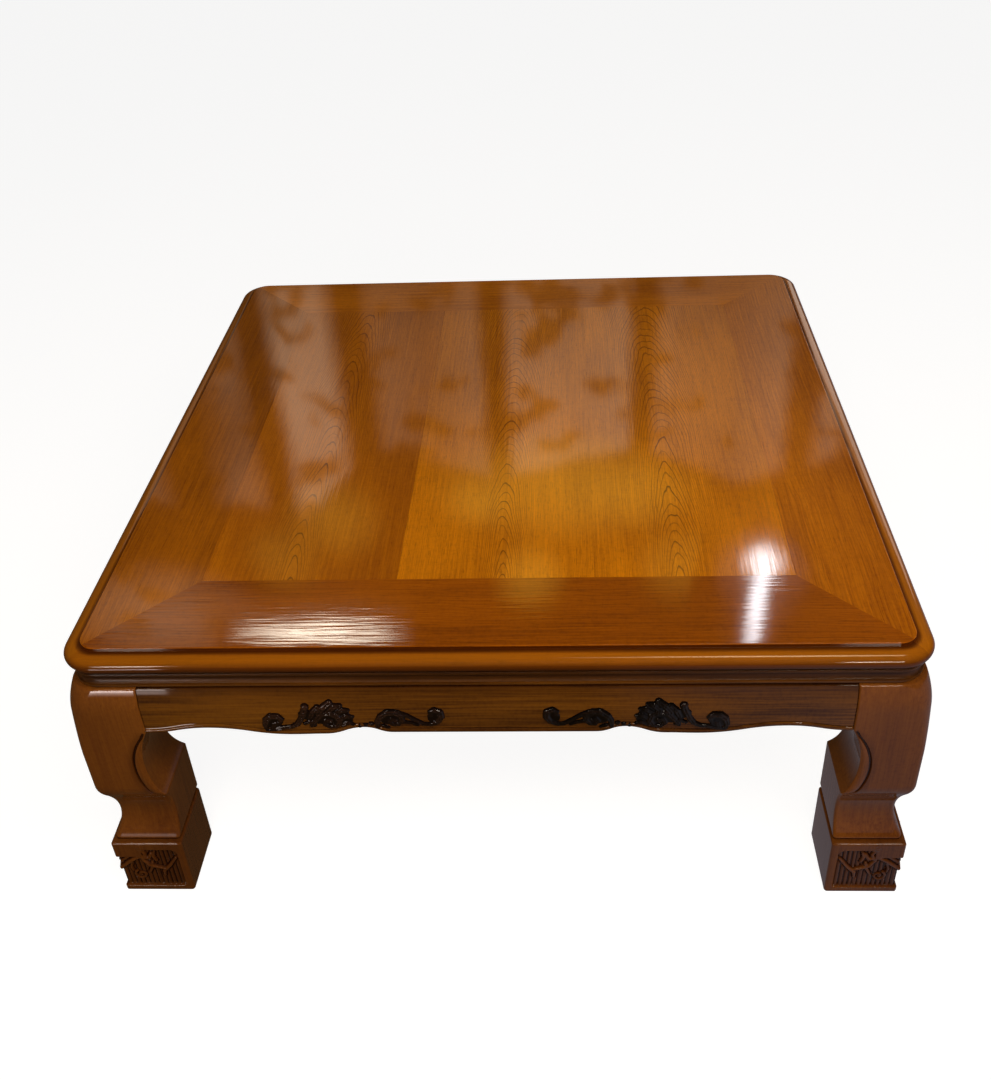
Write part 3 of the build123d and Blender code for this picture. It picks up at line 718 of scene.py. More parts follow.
def through(first, middle, last):
    """Circle through three points: its centre and radius."""
    (ax, ay), (bx, by), (cx, cy) = first, middle, last
    twice = 2 * (ax * (by - cy) + bx * (cy - ay) + cx * (ay - by))
    square_a, square_b, square_c = ax**2 + ay**2, bx**2 + by**2, cx**2 + cy**2
    x = (square_a * (by - cy) + square_b * (cy - ay) + square_c * (ay - by)) / twice
    y = (square_a * (cx - bx) + square_b * (ax - cx) + square_c * (bx - ax)) / twice
    return x, y, math.hypot(ax - x, ay - y)


def left_of(circle, height):
    """Inset of the circle's left side at a height."""
    x, y, radius = circle
    return x - math.sqrt(max(radius**2 - (height - y) ** 2, 0))


hollow_deep = LEG_SIZE - HOLLOW_DEPTH
hollow_head = (LEG_SIZE, hollow_top)
hollow_circle = through((LEG_SIZE, HOLLOW_FOOT), (hollow_deep, hollow_middle), hollow_head)
groove_circle = through(hollow_head, (hollow_deep - BAND_WIDTH, hollow_middle), GROOVE_FOOT)


def leg_face(height):
    """Inset of the outer faces of a leg at a height."""
    if height >= KNEE_TOP:
        return float(bulge(height)) - LEG_PROUD
    if height >= KNEE_EDGE:
        radius = ((KNEE_TOP - KNEE_EDGE) ** 2 + KNEE_SETBACK**2) / (2 * KNEE_SETBACK)
        return radius - math.sqrt(radius**2 - (KNEE_TOP - height) ** 2) - LEG_PROUD
    if height > THIN_LEVEL:
        reach, depth = KNEE_EDGE - THIN_LEVEL, THIN_INSET - (KNEE_SETBACK - LEG_PROUD)
    else:
        reach, depth = THIN_LEVEL - leg_bottom, THIN_INSET
    radius = (reach**2 + depth**2) / (2 * depth)
    return THIN_INSET - radius + math.sqrt(radius**2 - (height - THIN_LEVEL) ** 2)


def leg_corner(height):
    """Rounding of the outer corner of a leg, which widens towards the top."""
    share = max((height - ROUNDING_END) / (WAIST_BOTTOM - ROUNDING_END), 0)
    return ROUNDING + (ROUNDING_TOP - ROUNDING) * share**1.5


# %% Plan section of a leg
GROOVE_POINTS = [20, 21, 22, 23]
# How dark the groove points are, as painted shade.
GROOVE_SHADE = [0.4, 1.0, 1.0, 0.4]
GROOVE_HALF = 1.5
GROOVE_DEPTH = 2.0
BAND_PROUD = 0.9
ANKLE_ROUNDING = 2.2
EASE_HOLLOW = 1.5  # rounding of the inner edge along the hollow
EASE_FOOT = 3.0  # and below it
STUB_CLEARANCE = 0.25


def groove_strength(height):
    """How deep the groove is at a height: full, but fading out at both of its ends."""
    foot = np.clip((height - GROOVE_FOOT[1] + GROOVE_FADE / 2) / GROOVE_FADE, 0, 1)
    return foot * np.clip((hollow_top - height) / (GROOVE_FADE / 2), 0, 1)


def leg_half_plan(height):
    """Half a section: from the inner corner, along the hollow side and the face, to 45 degrees."""
    face = leg_face(height)
    corner = leg_corner(height)
    hollowed = HOLLOW_FOOT < height < hollow_top
    edge = left_of(hollow_circle, height) if hollowed else LEG_SIZE
    strength = groove_strength(height)
    if strength > 0:
        groove = left_of(groove_circle, height)
    else:
        groove = GROOVE_FOOT[0] if height < hollow_middle else LEG_SIZE - 5
    groove = min(groove, edge - 2 * GROOVE_HALF)
    ease = EASE_HOLLOW if height > HOLLOW_FOOT else EASE_FOOT
    side = [(edge, v) for v in np.linspace(edge, face + ease, 9)]
    points = side + arc(edge - ease, face + ease, ease, ease, 0, -90, 4)[1:]
    band = np.linspace(0, 1, 9)[1:]
    band_foot = groove + GROOVE_HALF
    for part in band:
        u = edge - ease + (band_foot - edge + ease) * part
        rise = math.sin(math.pi * (0.15 + 0.85 * part))
        points.append((u, face - BAND_PROUD * strength * rise))
    for part, depth in ((0.5, 1.0), (-0.2, 1.0), (-1.0, 0.0)):
        points.append((groove + GROOVE_HALF * part, face + GROOVE_DEPTH * strength * depth))
    start = groove - GROOVE_HALF
    for part in np.linspace(0, 1, 8)[1:]:
        points.append((start + (face + corner - groove + GROOVE_HALF) * part, face))
    return points + arc(face + corner, face + corner, corner, corner, -90, -135, 7)[1:]


def leg_section(corner, height):
    """A whole plan section, drawn in at the ankle and at the top, and its painted shade in the
    groove.
    """
    half = leg_half_plan(height)
    plan = np.array(half + [(v, u) for u, v in half[-2:0:-1]])
    drop = max(leg_bottom + ANKLE_ROUNDING - height, 0)
    shrink = ANKLE_ROUNDING - math.sqrt(max(ANKLE_ROUNDING**2 - drop**2, 0))
    rise = max(height - WAIST_BOTTOM + TOP_EASE, 0)
    setback = TOP_EASE - math.sqrt(max(TOP_EASE**2 - rise**2, 0))
    middle = LEG_SIZE / 2
    plan = middle + (plan - middle) * (1 - shrink / middle)
    plan = LEG_SIZE - (LEG_SIZE - plan) * (1 - setback / LEG_SIZE)
    # Painted shade in the groove, fading where the groove fades.
    shade_and_stain = np.zeros(len(half))
    shade_and_stain[GROOVE_POINTS] = np.array(GROOVE_SHADE) * groove_strength(height)
    shade_and_stain = np.concatenate([shade_and_stain, shade_and_stain[-2:0:-1]])
    return on_corner(corner, plan[:, 0], plan[:, 1], height), shade_and_stain


def square_section(corner, low, high, count, height):
    """A plain square with the point count of a leg section, for the neck and the stub."""
    half = count // 2
    first = [(high, v) for v in np.linspace(high, low, half // 2, endpoint=False)]
    first += [(u, low) for u in np.linspace(high, low, half - half // 2 + 1)]
    second = [(v, u) for u, v in first[-2:0:-1]]
    plan = np.array(first + second)
    return on_corner(corner, plan[:, 0], plan[:, 1], height)


def leg(corner):
    """Sections of a leg with its neck and the stub that reaches the frame, and their painted shade.
    """
    levels = np.concatenate([
        leg_bottom + ANKLE_ROUNDING * (1 - np.cos(np.radians([0, 20, 40, 60, 75]))),
        np.linspace(leg_bottom + ANKLE_ROUNDING, KNEE_EDGE, 34),
        np.linspace(KNEE_EDGE + 0.4, KNEE_TOP, 12),
        np.linspace(KNEE_TOP + 2, shoulder_foot, 44),
        np.linspace(shoulder_foot + 2, WAIST_BOTTOM - TOP_EASE, 18),
        WAIST_BOTTOM - TOP_EASE * (1 - np.sin(np.radians([22, 44, 66, 90]))),
    ])
    sections, darkenings = zip(*(leg_section(corner, height) for height in levels))
    count = len(sections[0])
    neck_low = NECK_RECESS - LEG_PROUD
    neck_high = LEG_SIZE - NECK_RECESS
    stub_low = WAIST_INNER + STUB_CLEARANCE
    neck, stub = (
        [square_section(corner, low, high, count, height) for height in ends]
        for low, high, ends in (
            (neck_low, neck_high, (FOOT_TOP, leg_bottom)),
            (stub_low, LEG_SIZE, (WAIST_BOTTOM, RAIL_BOTTOM)),
        )
    )
    # The neck is darkened all over as painted shade in the gap above the foot; the stub stays
    # clear.
    dark, clear = [np.ones(count)] * 2, [np.zeros(count)] * 2
    return skin([*neck, *sections, *stub]), [*dark, *darkenings, *clear]


for corner in CORNERS:
    shape, shade_and_stain = leg(corner)
    make_piece(f"leg_post_{corner}", shape, finish["leg"], shade_and_stain, [f"leg_{corner}"])

# %% [markdown]
# ## The feet
# A foot is a block with a sunk panel that wraps its outer corner. In the panel stand upright reeds,
# crossed by a forked branch, with a small flower on the upper rim. The relief is shallow, so each
# outer face is a fine grid that is pushed in or out by a height function made of tapered strokes.


# %% Tapered strokes as a height field
FAR_OUTSIDE = -3.0
VEIN_WIDTH = 0.6


def stroke_field(x, y, strokes, swell, flute=0.0):
    """Height of rounded strokes, each with a vein down its middle; below zero outside them."""
    field = np.full(x.shape, FAR_OUTSIDE)
    for stroke in strokes:
        for (ax, ay, ar), (bx, by, br) in zip(stroke, stroke[1:] or stroke):
            dx, dy = bx - ax, by - ay
            length = dx * dx + dy * dy
            along = np.clip(((x - ax) * dx + (y - ay) * dy) / length, 0, 1) if length else 0 * x
            away = np.hypot(x - ax - along * dx, y - ay - along * dy)
            radius = ar + (br - ar) * along
            vein = 1 - flute * np.exp(-((away / VEIN_WIDTH) ** 2))
            inside = swell * np.sqrt(np.maximum(radius**2 - away**2, 0)) * vein
            field = np.maximum(field, np.where(away < radius, inside, radius - away))
    return field


def spiral(x, y, radius, turns, start, thick, steps=14):
    """A curl that winds in from its outer end."""
    points = []
    for step in range(steps + 1):
        part = step / steps
        angle = math.radians(start + 360 * turns * part)
        reach = radius * (1 - part) ** 0.8
        across, up = reach * math.cos(angle), reach * math.sin(angle)
        points.append((x + across, y + up, thick * (1 - 0.3 * part)))
    return points


# %% Relief of a foot
FOOT_ROUNDING = 2.5
SOLE_ROUNDING = 2.5
PLAIN_ROUNDING = 3
FOOT_GRID = 0.7
FOOT_RESERVE = 0.4  # how far the relief may stand over the lip
PANEL_DEPTH = 3.4
PANEL_FOOT = 8.5
PANEL_TOP = 66.0
PANEL_STEP = (25.0, 55.0)
PANEL_SIDE = 62.0
PANEL_FALL = 5  # its top falls by this much
PANEL_FALL_RUN = 6  # over this last stretch
SOFT_EDGE = 2.4
CRISP_EDGE = 1.2
# Every point of a foot is darkened evenly by this share.
EVEN_FOOT_DARKENING = 0.25
PANEL_SHADE = ((0.3, 0.8, 1.0), (0.5, 2.9, 1.2))  # share of painted shade in the recess, depth where it starts, width
REED_PITCH = 4.8
REED_RADIUS = 1.9
REED_SWELL = 0.8
REED_GAP = 1.1  # between the reeds and the branch over them
BRANCH_BASE = 0.9
BRANCH_SWELL = 1.1
FLOWER_SWELL = 0.7
FLOWER_SINK = 0.5
BRANCHES = [
    [(60, 53, 1.7), (51, 40, 2.1), (43, 31, 2.2), (42, 23, 1.5)],
    [(47, 34, 1.7), (39, 37, 2.2), (29, 41, 2.3), (24, 50, 2.2), (28, 58, 2.0), (25, 66, 2.0)],
    [(35, 60, 1.8), (31, 52, 2.2), (21, 54, 2.3), (13, 49, 2.4), (4, 41, 2.2), (-4, 34, 2.0)],
    [(25, 51, 1.7), (15, 57, 1.8), (8, 53, 1.7), (1, 47, 1.5)],
    [(33, 45, 1.8), (31, 36, 2.0), (27.5, 29, 1.6)],
    [(12, 46, 1.5), (9, 37, 1.6), (10, 31, 1.3)],
    [(38, 62, 1.5), (36, 55, 2.0), (38, 48, 1.8)],
]
PETALS = 5
petal_places = arc(26.0, 70.0, 3.4, 3.4, 90, 90 + 360 * (PETALS - 1) / PETALS, PETALS - 1)
FLOWER = [[(26.0, 70.0, 2.1)]] + [[(x, z, 1.8)] for x, z in petal_places]
CURL = [spiral(17.5, 25.0, 7.0, 1.5, 120, 1.6)]


def smooth_step(value, width):
    """Smooth rise from 0 to 1 over a width round zero."""
    part = np.clip(value / width + 0.5, 0, 1)
    return part * part * (3 - 2 * part)


def foot_relief(inset, height):
    """Push of the outer faces of a foot, outward positive, by inset from the table's edge."""
    top = np.where(inset < PANEL_STEP[0], PANEL_STEP[1], PANEL_TOP)
    near_side = np.clip((inset - PANEL_SIDE + PANEL_FALL_RUN) / PANEL_FALL_RUN, 0, 1)
    top = top - PANEL_FALL * near_side**2
    panel = smooth_step(height - PANEL_FOOT, SOFT_EDGE) * smooth_step(top - height, CRISP_EDGE)
    panel = panel * smooth_step(PANEL_SIDE - inset, CRISP_EDGE)
    branch = stroke_field(inset, height, BRANCHES + FLOWER + CURL, 1.0)
    clear = smooth_step(-branch - REED_GAP, 0.8)
    reed = np.abs((inset + FOOT_PROUD - PANEL_DEPTH) % REED_PITCH - REED_PITCH / 2)
    reeds = REED_SWELL * np.sqrt(np.maximum(REED_RADIUS**2 - reed**2, 0)) * clear
    carved = np.maximum(reeds, np.where(branch > 0, BRANCH_BASE + BRANCH_SWELL * branch, 0))
    level = panel * (np.minimum(carved, PANEL_DEPTH + 0.2) - PANEL_DEPTH)
    flower = stroke_field(inset, height, FLOWER, FLOWER_SWELL)
    flower = np.where(flower > 0, flower - FLOWER_SINK, -9)
    return np.minimum(np.maximum(level, flower), FOOT_RESERVE)


def foot_darkening(push):
    """The whole foot is darkened a little, and the ground of the recess most, as painted shade."""
    ground = [share * smooth_step(-push - depth, width) for share, depth, width in PANEL_SHADE]
    return EVEN_FOOT_DARKENING + ground[0] + ground[1]


def foot_outline():
    """One ring: places, outward directions and insets of the carved faces, then the plain ones."""
    face = -FOOT_PROUD + FOOT_RESERVE
    bend = face + FOOT_ROUNDING
    grid = np.arange(FOOT_INNER - 3.5, bend, -FOOT_GRID)
    turn = np.radians(np.linspace(-90, -180, 8))[1:-1]
    zero, one = np.zeros(len(grid) + 1), np.ones(len(grid) + 1)
    flat = np.append(grid, bend)
    u = np.concatenate([flat, bend + FOOT_ROUNDING * np.cos(turn), face * one])
    v = np.concatenate([face * one, bend + FOOT_ROUNDING * np.sin(turn), flat[::-1]])
    out_u = np.concatenate([zero, np.cos(turn), -one])
    out_v = np.concatenate([-one, np.sin(turn), zero])
    inset = np.concatenate([flat, np.full(len(turn), bend), flat[::-1]])
    far, soft = FOOT_INNER, PLAIN_ROUNDING
    plain = arc(face + soft, far - soft, soft, soft, 180, 90, 4) + [(far / 2, far)]
    plain += arc(far - soft, far - soft, soft, soft, 90, 0, 4) + [(far, far / 2)]
    plain += arc(far - soft, face + soft, soft, soft, 0, -90, 4)
    return u, v, out_u, out_v, inset, np.array(plain)


def foot(corner):
    """Rings of a foot with its relief, and the darkening of each of their points."""
    u, v, out_u, out_v, inset, plain = foot_outline()
    middle = (FOOT_INNER - FOOT_PROUD) / 2
    quarter = np.radians([0, 20, 40, 60, 75, 90])
    levels = np.concatenate([
        SOLE_ROUNDING * (1 - np.cos(quarter)),
        np.arange(SOLE_ROUNDING + FOOT_GRID, FOOT_TOP - FOOT_ROUNDING - 0.2, FOOT_GRID),
        FOOT_TOP - FOOT_ROUNDING + FOOT_ROUNDING * np.sin(quarter),
    ])
    rings, darkenings = [], []
    for height in levels:
        push = foot_relief(inset, np.full(inset.shape, height))
        lift = max(height - FOOT_TOP + FOOT_ROUNDING, SOLE_ROUNDING - height, 0)
        shrink = FOOT_ROUNDING - math.sqrt(max(FOOT_ROUNDING**2 - lift**2, 0))
        scale = 1 - 2 * shrink / (FOOT_INNER + FOOT_PROUD)
        ring_u = middle + (np.concatenate([u + out_u * push, plain[:, 0]]) - middle) * scale
        ring_v = middle + (np.concatenate([v + out_v * push, plain[:, 1]]) - middle) * scale
        rings.append(on_corner(corner, ring_u, ring_v, height))
        darkenings.append(np.concatenate([foot_darkening(push), np.full(len(plain), EVEN_FOOT_DARKENING)]))
    return skin(rings), darkenings


for corner in CORNERS:
    shape, shade_and_stain = foot(corner)
    make_piece(f"foot_block_{corner}", shape, finish["leg"], shade_and_stain, [f"foot_{corner}"])

# %% [markdown]
# ## The carvings on the aprons
# Each apron carries a mirrored pair of carvings: a curled leaf and an acanthus spray outside, and a
# scroll with a long tail inside, joined by three beads in the notch. They are cut in relief and
# stained nearly black. A height field over the face, kept only where the strokes stand proud, gives
# clean outlines, and its rim dips below the face so that it meets the wood without a gap. Painted
# shade darkens the low places of the carving further, and is left off where it stands highest.

# %% Strokes of one carving
# Strokes of (distance from the middle of the side, height, half width), all in mm.
CARVING = [
    [
        (214, 241, 1.6), (215, 248, 2.8), (213, 255, 3.5), (208, 260, 3.8), (202, 260, 3.4),
        (198.5, 256, 2.8), (200, 251.5, 2.2), (204, 250.5, 2.2),
    ],
    [(208, 243, 2.2), (206, 249, 2.4)],
    [
        (214, 241, 1.6), (206, 242, 2.2), (198, 245, 2.6), (190, 246, 2.6), (184, 249.5, 2.9),
        (180, 256, 3.2), (177, 263, 3.3), (174.5, 270, 3.6),
    ],
    [(174.5, 271.5, 3.9)],
    [
        (171, 247, 2.2), (166, 255, 2.8), (160, 262, 3.1), (152, 263.5, 3.3), (145.5, 259.5, 3.2),
        (143.5, 252.5, 3.0), (147, 246.5, 2.6), (154, 245.5, 2.3), (158.5, 249.5, 2.3),
        (156.5, 254.5, 2.2), (152.5, 254, 2.8),
    ],
    [(171, 258, 2.4), (167.5, 266, 3.2), (163, 271, 3.0)],
    [(163, 263, 2.8), (157.5, 271, 3.6), (151.5, 276, 3.4)],
    [(153, 266, 2.8), (147, 272, 3.4), (142, 272.5, 2.7)],
    [(147, 262, 2.8), (140.5, 267.5, 3.2), (135.5, 267, 2.6)],
    [(143, 255, 2.8), (137, 260, 3.0), (132, 258.5, 2.4)],
    [(142, 248, 2.6), (136, 251.5, 2.6), (131.5, 249, 2.0)],
    [(177, 250, 2.0), (171, 253, 2.4), (168, 247.5, 2.0)],
    [(125.5, 246.5, 2.2)],
    [(120, 248, 2.4)],
    [(114.5, 249.5, 2.6)],
    [
        (109, 245, 2.2), (108.5, 252, 3.0), (105, 259, 3.4), (99, 264, 3.6), (92, 264.5, 3.4),
        (86.5, 260.5, 3.0), (85, 254, 2.6), (88.5, 249, 2.4), (94, 248.5, 2.3), (97, 252.5, 2.2),
        (94.5, 256, 2.2), (91.5, 254, 2.6),
    ],
    [
        (97, 265.5, 2.8), (88, 264, 2.7), (80, 259.5, 2.6), (72, 253.5, 2.4), (65, 249, 2.3),
        (58.5, 248.5, 2.5), (52, 252, 3.0), (48.5, 258, 3.4), (49.5, 264.5, 3.4),
        (54.5, 267, 3.0), (58.5, 264.5, 2.4), (58, 260.5, 2.2),
    ],
    [(84, 252, 2.2), (77, 250.5, 2.0), (71, 247.5, 1.6)],
    [(104, 247, 2.0), (99, 244.5, 1.8)],
]
CARVING_GROUND = [
    [(207, 252, 8.5)],
    [(178, 262, 4.0), (166, 259, 9.0), (150, 260, 11.0), (140, 256, 9.0)],
    [(150, 270, 6.0), (142, 262, 8.0)],
    [(99, 257, 8.0), (90, 257, 8.0)],
    [(54, 257, 7.5)],
]
GROUND_LEVEL = 0.8
CARVING_SWELL = 0.8
CARVING_LIMIT = 3.2
VEIN = 0.45
CARVING_SINK = 0.8
CARVING_EDGE = 0.15
CARVING_GRID = 0.55
CARVING_RUN = (44.0, 220.0)
CARVING_RISE = (238.0, 282.0)
UNSHADED_HEIGHT = 1.7  # where the painted shade stops on the high places
UNSHADED_SPAN = 1.4


def carving(side, hand):
    """Mesh of one carving, the right one for hand 1 and its mirror for hand -1."""
    run, rise = (np.arange(*ends, CARVING_GRID) for ends in (CARVING_RUN, CARVING_RISE))
    x, z = np.meshgrid(run, rise)
    ground = np.minimum(stroke_field(x, z, CARVING_GROUND, 1.0), GROUND_LEVEL)
    field = np.maximum(stroke_field(x, z, CARVING, CARVING_SWELL, VEIN), ground)
    field = np.where(field > 0, field + CARVING_EDGE, field)
    height = np.clip(field, -CARVING_SINK, CARVING_LIMIT)
    points = on_side(side, hand * x, APRON_FACE + bulge(z) - height, z)
    index = np.arange(x.size).reshape(x.shape)
    corners = [index[:-1, :-1], index[:-1, 1:], index[1:, 1:], index[1:, :-1]]
    keep = np.max([field.ravel()[corner] for corner in corners], axis=0) > 0
    quads = np.stack([corner[keep] for corner in corners], axis=-1)
    used, compact = np.unique(quads, return_inverse=True)
    # Painted shade in the low places of the carving, left off the highest ones.
    painted_light = smooth_step(height.ravel()[used] - UNSHADED_HEIGHT, UNSHADED_SPAN)
    return (points.reshape(-1, 3)[used], compact.reshape(-1, 4).tolist()), 1 - painted_light


finish["carving"] = lacquered_wood(
    "dark_stained_carving", colour(56, 33, 22), colour(12, 7, 5), ALONG_X,
    ring=4.0, late=0.5, patch=0.9, fibre=0.7, brush=0.9,
)
for side in SIDES:
    for hand, word in ((-1, "left"), (1, "right")):
        shape, shade_and_stain = carving(side, hand)
        make_piece(f"carving_{side}_{word}", shape, finish["carving"], shade_and_stain, crease=60)

# %% [markdown]
# ## Studio
# Lacquer looks like lacquer because of what it mirrors, and what lights it can be kept apart from
# that. Four soft lamps fill the scene and are never mirrored. Everything mirrored is a panel with a
# glow of its own, which only mirrors see: a floor that is dimmer than the white one in view, two
# windows, small panels for glints, and a tall screen behind the table.


# %% Stage meshes and glowing panels
def stage_mesh(name, points, faces, hidden_from):
    """A mesh of the stage, unseen by some kinds of rays; gives back the object and its shader."""
    mesh = bpy.data.meshes.new(name)
    mesh.from_pydata(points, [], faces)
    thing = bpy.data.objects.new(name, mesh)
    bpy.context.scene.collection.objects.link(thing)
    for rays in hidden_from:
        setattr(thing, f"visible_{rays}", False)
    material, shader = new_material(name)
    mesh.materials.append(material)
    return thing, shader


def glow_panel(name, place, size, turn, glow=None):
    """A flat panel that only mirrors see; returns its shader, with a glow of (colour, strength)."""
    x, y = size[0] / 2, size[1] / 2
    corners = [(-x, -y, 0), (x, -y, 0), (x, y, 0), (-x, y, 0)]
    panel, shader = stage_mesh(name, corners, [(0, 1, 2, 3)], ("camera", "diffuse", "shadow"))
    panel.location = place
    panel.rotation_euler = [math.radians(angle) for angle in turn]
    feed(shader, {"Base Color": (0, 0, 0, 1), "Specular IOR Level": 0.0})
    if glow:
        feed(shader, {"Emission Color": glow[0], "Emission Strength": glow[1]})
    return shader


# %% Floor and surround
STUDIO_RADIUS = 9.0
COVE_RADIUS = 3.0
STUDIO_HEIGHT = 9.0
STUDIO_TURNS = 64
WHITE = (1, 1, 1, 1)
profile = [
    (STUDIO_RADIUS - COVE_RADIUS + along, COVE_RADIUS - rise)
    for along, rise in arc(0, 0, COVE_RADIUS, COVE_RADIUS, 90, 0, 12)
] + [(STUDIO_RADIUS, STUDIO_HEIGHT)]
studio_turn = np.linspace(0, 2 * math.pi, STUDIO_TURNS, endpoint=False)
studio_points, studio_faces = skin([
    [(reach * math.cos(angle), reach * math.sin(angle), height) for angle in studio_turn]
    for reach, height in profile
])
floor, paper = stage_mesh(
    "studio_floor", studio_points.tolist(), studio_faces[:-1], ("glossy", "diffuse")
)
floor.data.shade_smooth()
feed(paper, {
    "Base Color": (0.3, 0.3, 0.3, 1), "Roughness": 0.9, "Specular IOR Level": 0.0,
    "Emission Color": WHITE, "Emission Strength": 0.9,
})

MIRRORED_LEFT = (0.07, 0.042, 0.02, 1)
MIRRORED_RIGHT = (0.2, 0.19, 0.22, 1)
MIRRORED_LEVEL = -0.002
mirrored = glow_panel(
    "mirrored_floor", (0, 0, MIRRORED_LEVEL), (2 * STUDIO_RADIUS, 2 * STUDIO_RADIUS), (0, 0, 0)
)
rightward = span(split(own_place(mirrored))[0], 0.1, 0.4)
feed(mirrored, {
    "Emission Color": blend(rightward, MIRRORED_LEFT, MIRRORED_RIGHT), "Emission Strength": 1.0,
})

world = bpy.data.worlds.new("dim_surround")
world.use_nodes = True
feed(world.node_tree.nodes["Background"], {"Color": (1.0, 0.85, 0.65, 1), "Strength": 0.03})
bpy.context.scene.world = world
bpy.context.scene.view_settings.view_transform = "Standard"

# %% Soft lamps that fill
LAMP_SIZE = (1.6, 0.6)
LAMP_TINT = (1, 0.86, 0.7)
for name, place, aim, power in (
    ("overhead_fill", (0.3, -1.05, 1.6), (0.1, -0.3, 0.33), 18.4),
    ("front_fill", (0.3, -3.0, 1.3), (0, 0, 0.2), 20),
    ("left_fill", (-2.2, -0.9, 0.5), (0.2, -0.35, 0.15), 9),
    ("right_fill", (2.2, -0.9, 0.5), (-0.2, -0.35, 0.15), 8),
):
    light = bpy.data.lights.new(name, "AREA")
    light.shape = "RECTANGLE"
    light.size, light.size_y = LAMP_SIZE
    light.energy = power
    light.color = LAMP_TINT
    lamp = bpy.data.objects.new(name, light)
    bpy.context.scene.collection.objects.link(lamp)
    facing = (Vector(place) - Vector(aim)).to_track_quat("Z", "Y")
    lamp.matrix_world = Matrix.Translation(place) @ facing.to_matrix().to_4x4()
    lamp.visible_camera = False
    lamp.visible_glossy = False
    print(name, power, "W")


# %% [markdown]
# ## Glare, windows and glints
# A lamp high behind the table lies in the mirror of the top as a hot core with a ragged rim. It is
# drawn as a few soft blobs on one panel, since panels at one height would hide each other. A third
# such panel, nearly overhead, gives the nose of the moulding its long line.


# %% Soft blobs and ragged glare
def soft_blob(axes, centre, reach):
    """One in the middle of an ellipse, falling smoothly to zero at its rim."""
    across, up = [(axis - middle) / half for axis, middle, half in zip(axes, centre, reach)]
    inside = 1 - (across * across + up * up)
    return inside.maths("MAXIMUM", 0.0) ** 1.5


def blobs_on(axes, blobs):
    """The sum of soft blobs, each given as centre, reach and strength."""
    return sum(soft_blob(axes, centre, reach) * strength for centre, reach, strength in blobs)


def glare(name, place, size, turn, tint, stretch, blobs):
    """A lamp seen in the lacquer: soft blobs on one panel, each ragged towards its rim."""
    shader = glow_panel(name, place, size, (180, 0, turn))
    spot = own_place(shader)
    ragged = span(noise(spot, stretch, 2.0, 2.0), 0.35, 0.65) * 0.6 + 0.4
    core = blobs_on(split(spot)[:2], blobs) * ragged
    feed(shader, {"Emission Color": tint, "Emission Strength": core})


PATCH = [((0, 0), (0.36, 0.07), 34)]
STREAK = [
    ((0, 0.11), (0.044, 0.42), 31), ((0, -0.16), (0.1, 0.12), 24), ((0, -0.1), (0.2, 0.28), 1.0),
]
NOSE = [((0, 0), (0.62, 0.2), 13)]
for name, place, size, turn, tint, stretch, blobs in (
    ("patch_glare", (-0.84, 1.875, 2.4), (0.72, 0.14), 0, (1, 0.92, 0.74, 1), (7, 40, 1), PATCH),
    ("streak_glare", (0.77, 2.1, 2.4), (0.5, 1.1), -13.9, (0.9, 0.94, 1, 1), (60, 9, 1), STREAK),
    ("nose_line", (0.6, -0.18, 2.4), (1.25, 0.4), 0, (1, 0.78, 0.46, 1), (4, 1, 1), NOSE),
):
    glare(name, place, size, turn, tint, stretch, blobs)
    print(name, "with", len(blobs), "blobs")

# %% A low window in front, mirrored at the left in the nose and the shoulder
low_window = glow_panel("low_window", (-0.615, -1.05, 0.13), (0.15, 0.24), (90, 0, 180))
rise = span(split(own_place(low_window))[1], -0.05, 0.09)
feed(low_window, {"Emission Color": (1, 0.84, 0.78, 1), "Emission Strength": rise**2.0 * 18.0})

# %% A window far right, mirrored along the right edge of the field, and two glints in front
GLINT = ((1, 0.86, 0.72, 1), 30.0)
glow_panel("edge_window", (1.5, 1.65, 0.85), (1.3, 0.6), (90, 0, 0), ((1, 0.84, 0.7, 1), 1.6))
glow_panel("left_glint", (-1.35, -2.4, 2.0), (0.22, 0.22), (45, 0, 0), GLINT)
glow_panel("right_glint", (1.04, -2.4, 2.0), (0.22, 0.22), (45, 0, 0), GLINT)

# %% [markdown]
# ## A screen for the sheen
# A tall screen behind the table, dim and warm like a row of paper windows, lies in the mirror of
# the back half of the top. Its posts, its uneven upper edge, its stains and a few golden glows are
# a pattern in its own light.

# %% The tall screen
SCREEN_PLACE = (0.0, 2.5, 2.05)
SCREEN_SIZE = (4.4, 2.3)
POSTS = ((-1.42, 0.12), (-1.075, 0.07), (-0.71, 0.075), (-0.195, 0.05), (0.35, 0.05), (0.945, 0.06))
POST_BLUR = 0.4
PANES = (
    (-1.9, 0.7), (-1.15, 0.75), (-1.0, 1.95), (-0.8, 1.8), (-0.6, 0.65), (-0.43, 0.45),
    (-0.28, 0.85), (-0.1, 1.35), (0.1, 1.2), (0.3, 1.5), (0.48, 0.7), (0.67, 0.6), (0.85, 1.05),
    (1.05, 1.05), (1.9, 0.7),
)
PANE_LIGHT = 2.2
PANE_FULL = 2.0
GOLDEN_GLOWS = [
    ((0.04, 2.22), (0.56, 0.3), 2.1), ((0.38, 2.26), (0.3, 0.2), 0.9),
    ((-0.3, 2.29), (0.16, 0.14), 1.2), ((-0.88, 2.36), (0.24, 0.24), 1.3),
    ((-0.1, 2.68), (0.18, 0.22), 2.2), ((0.52, 2.62), (0.2, 0.24), 1.4),
    ((-1.12, 2.56), (0.2, 0.22), 1.0),
]
GOLDEN = (1.0, 0.56, 0.055, 1)
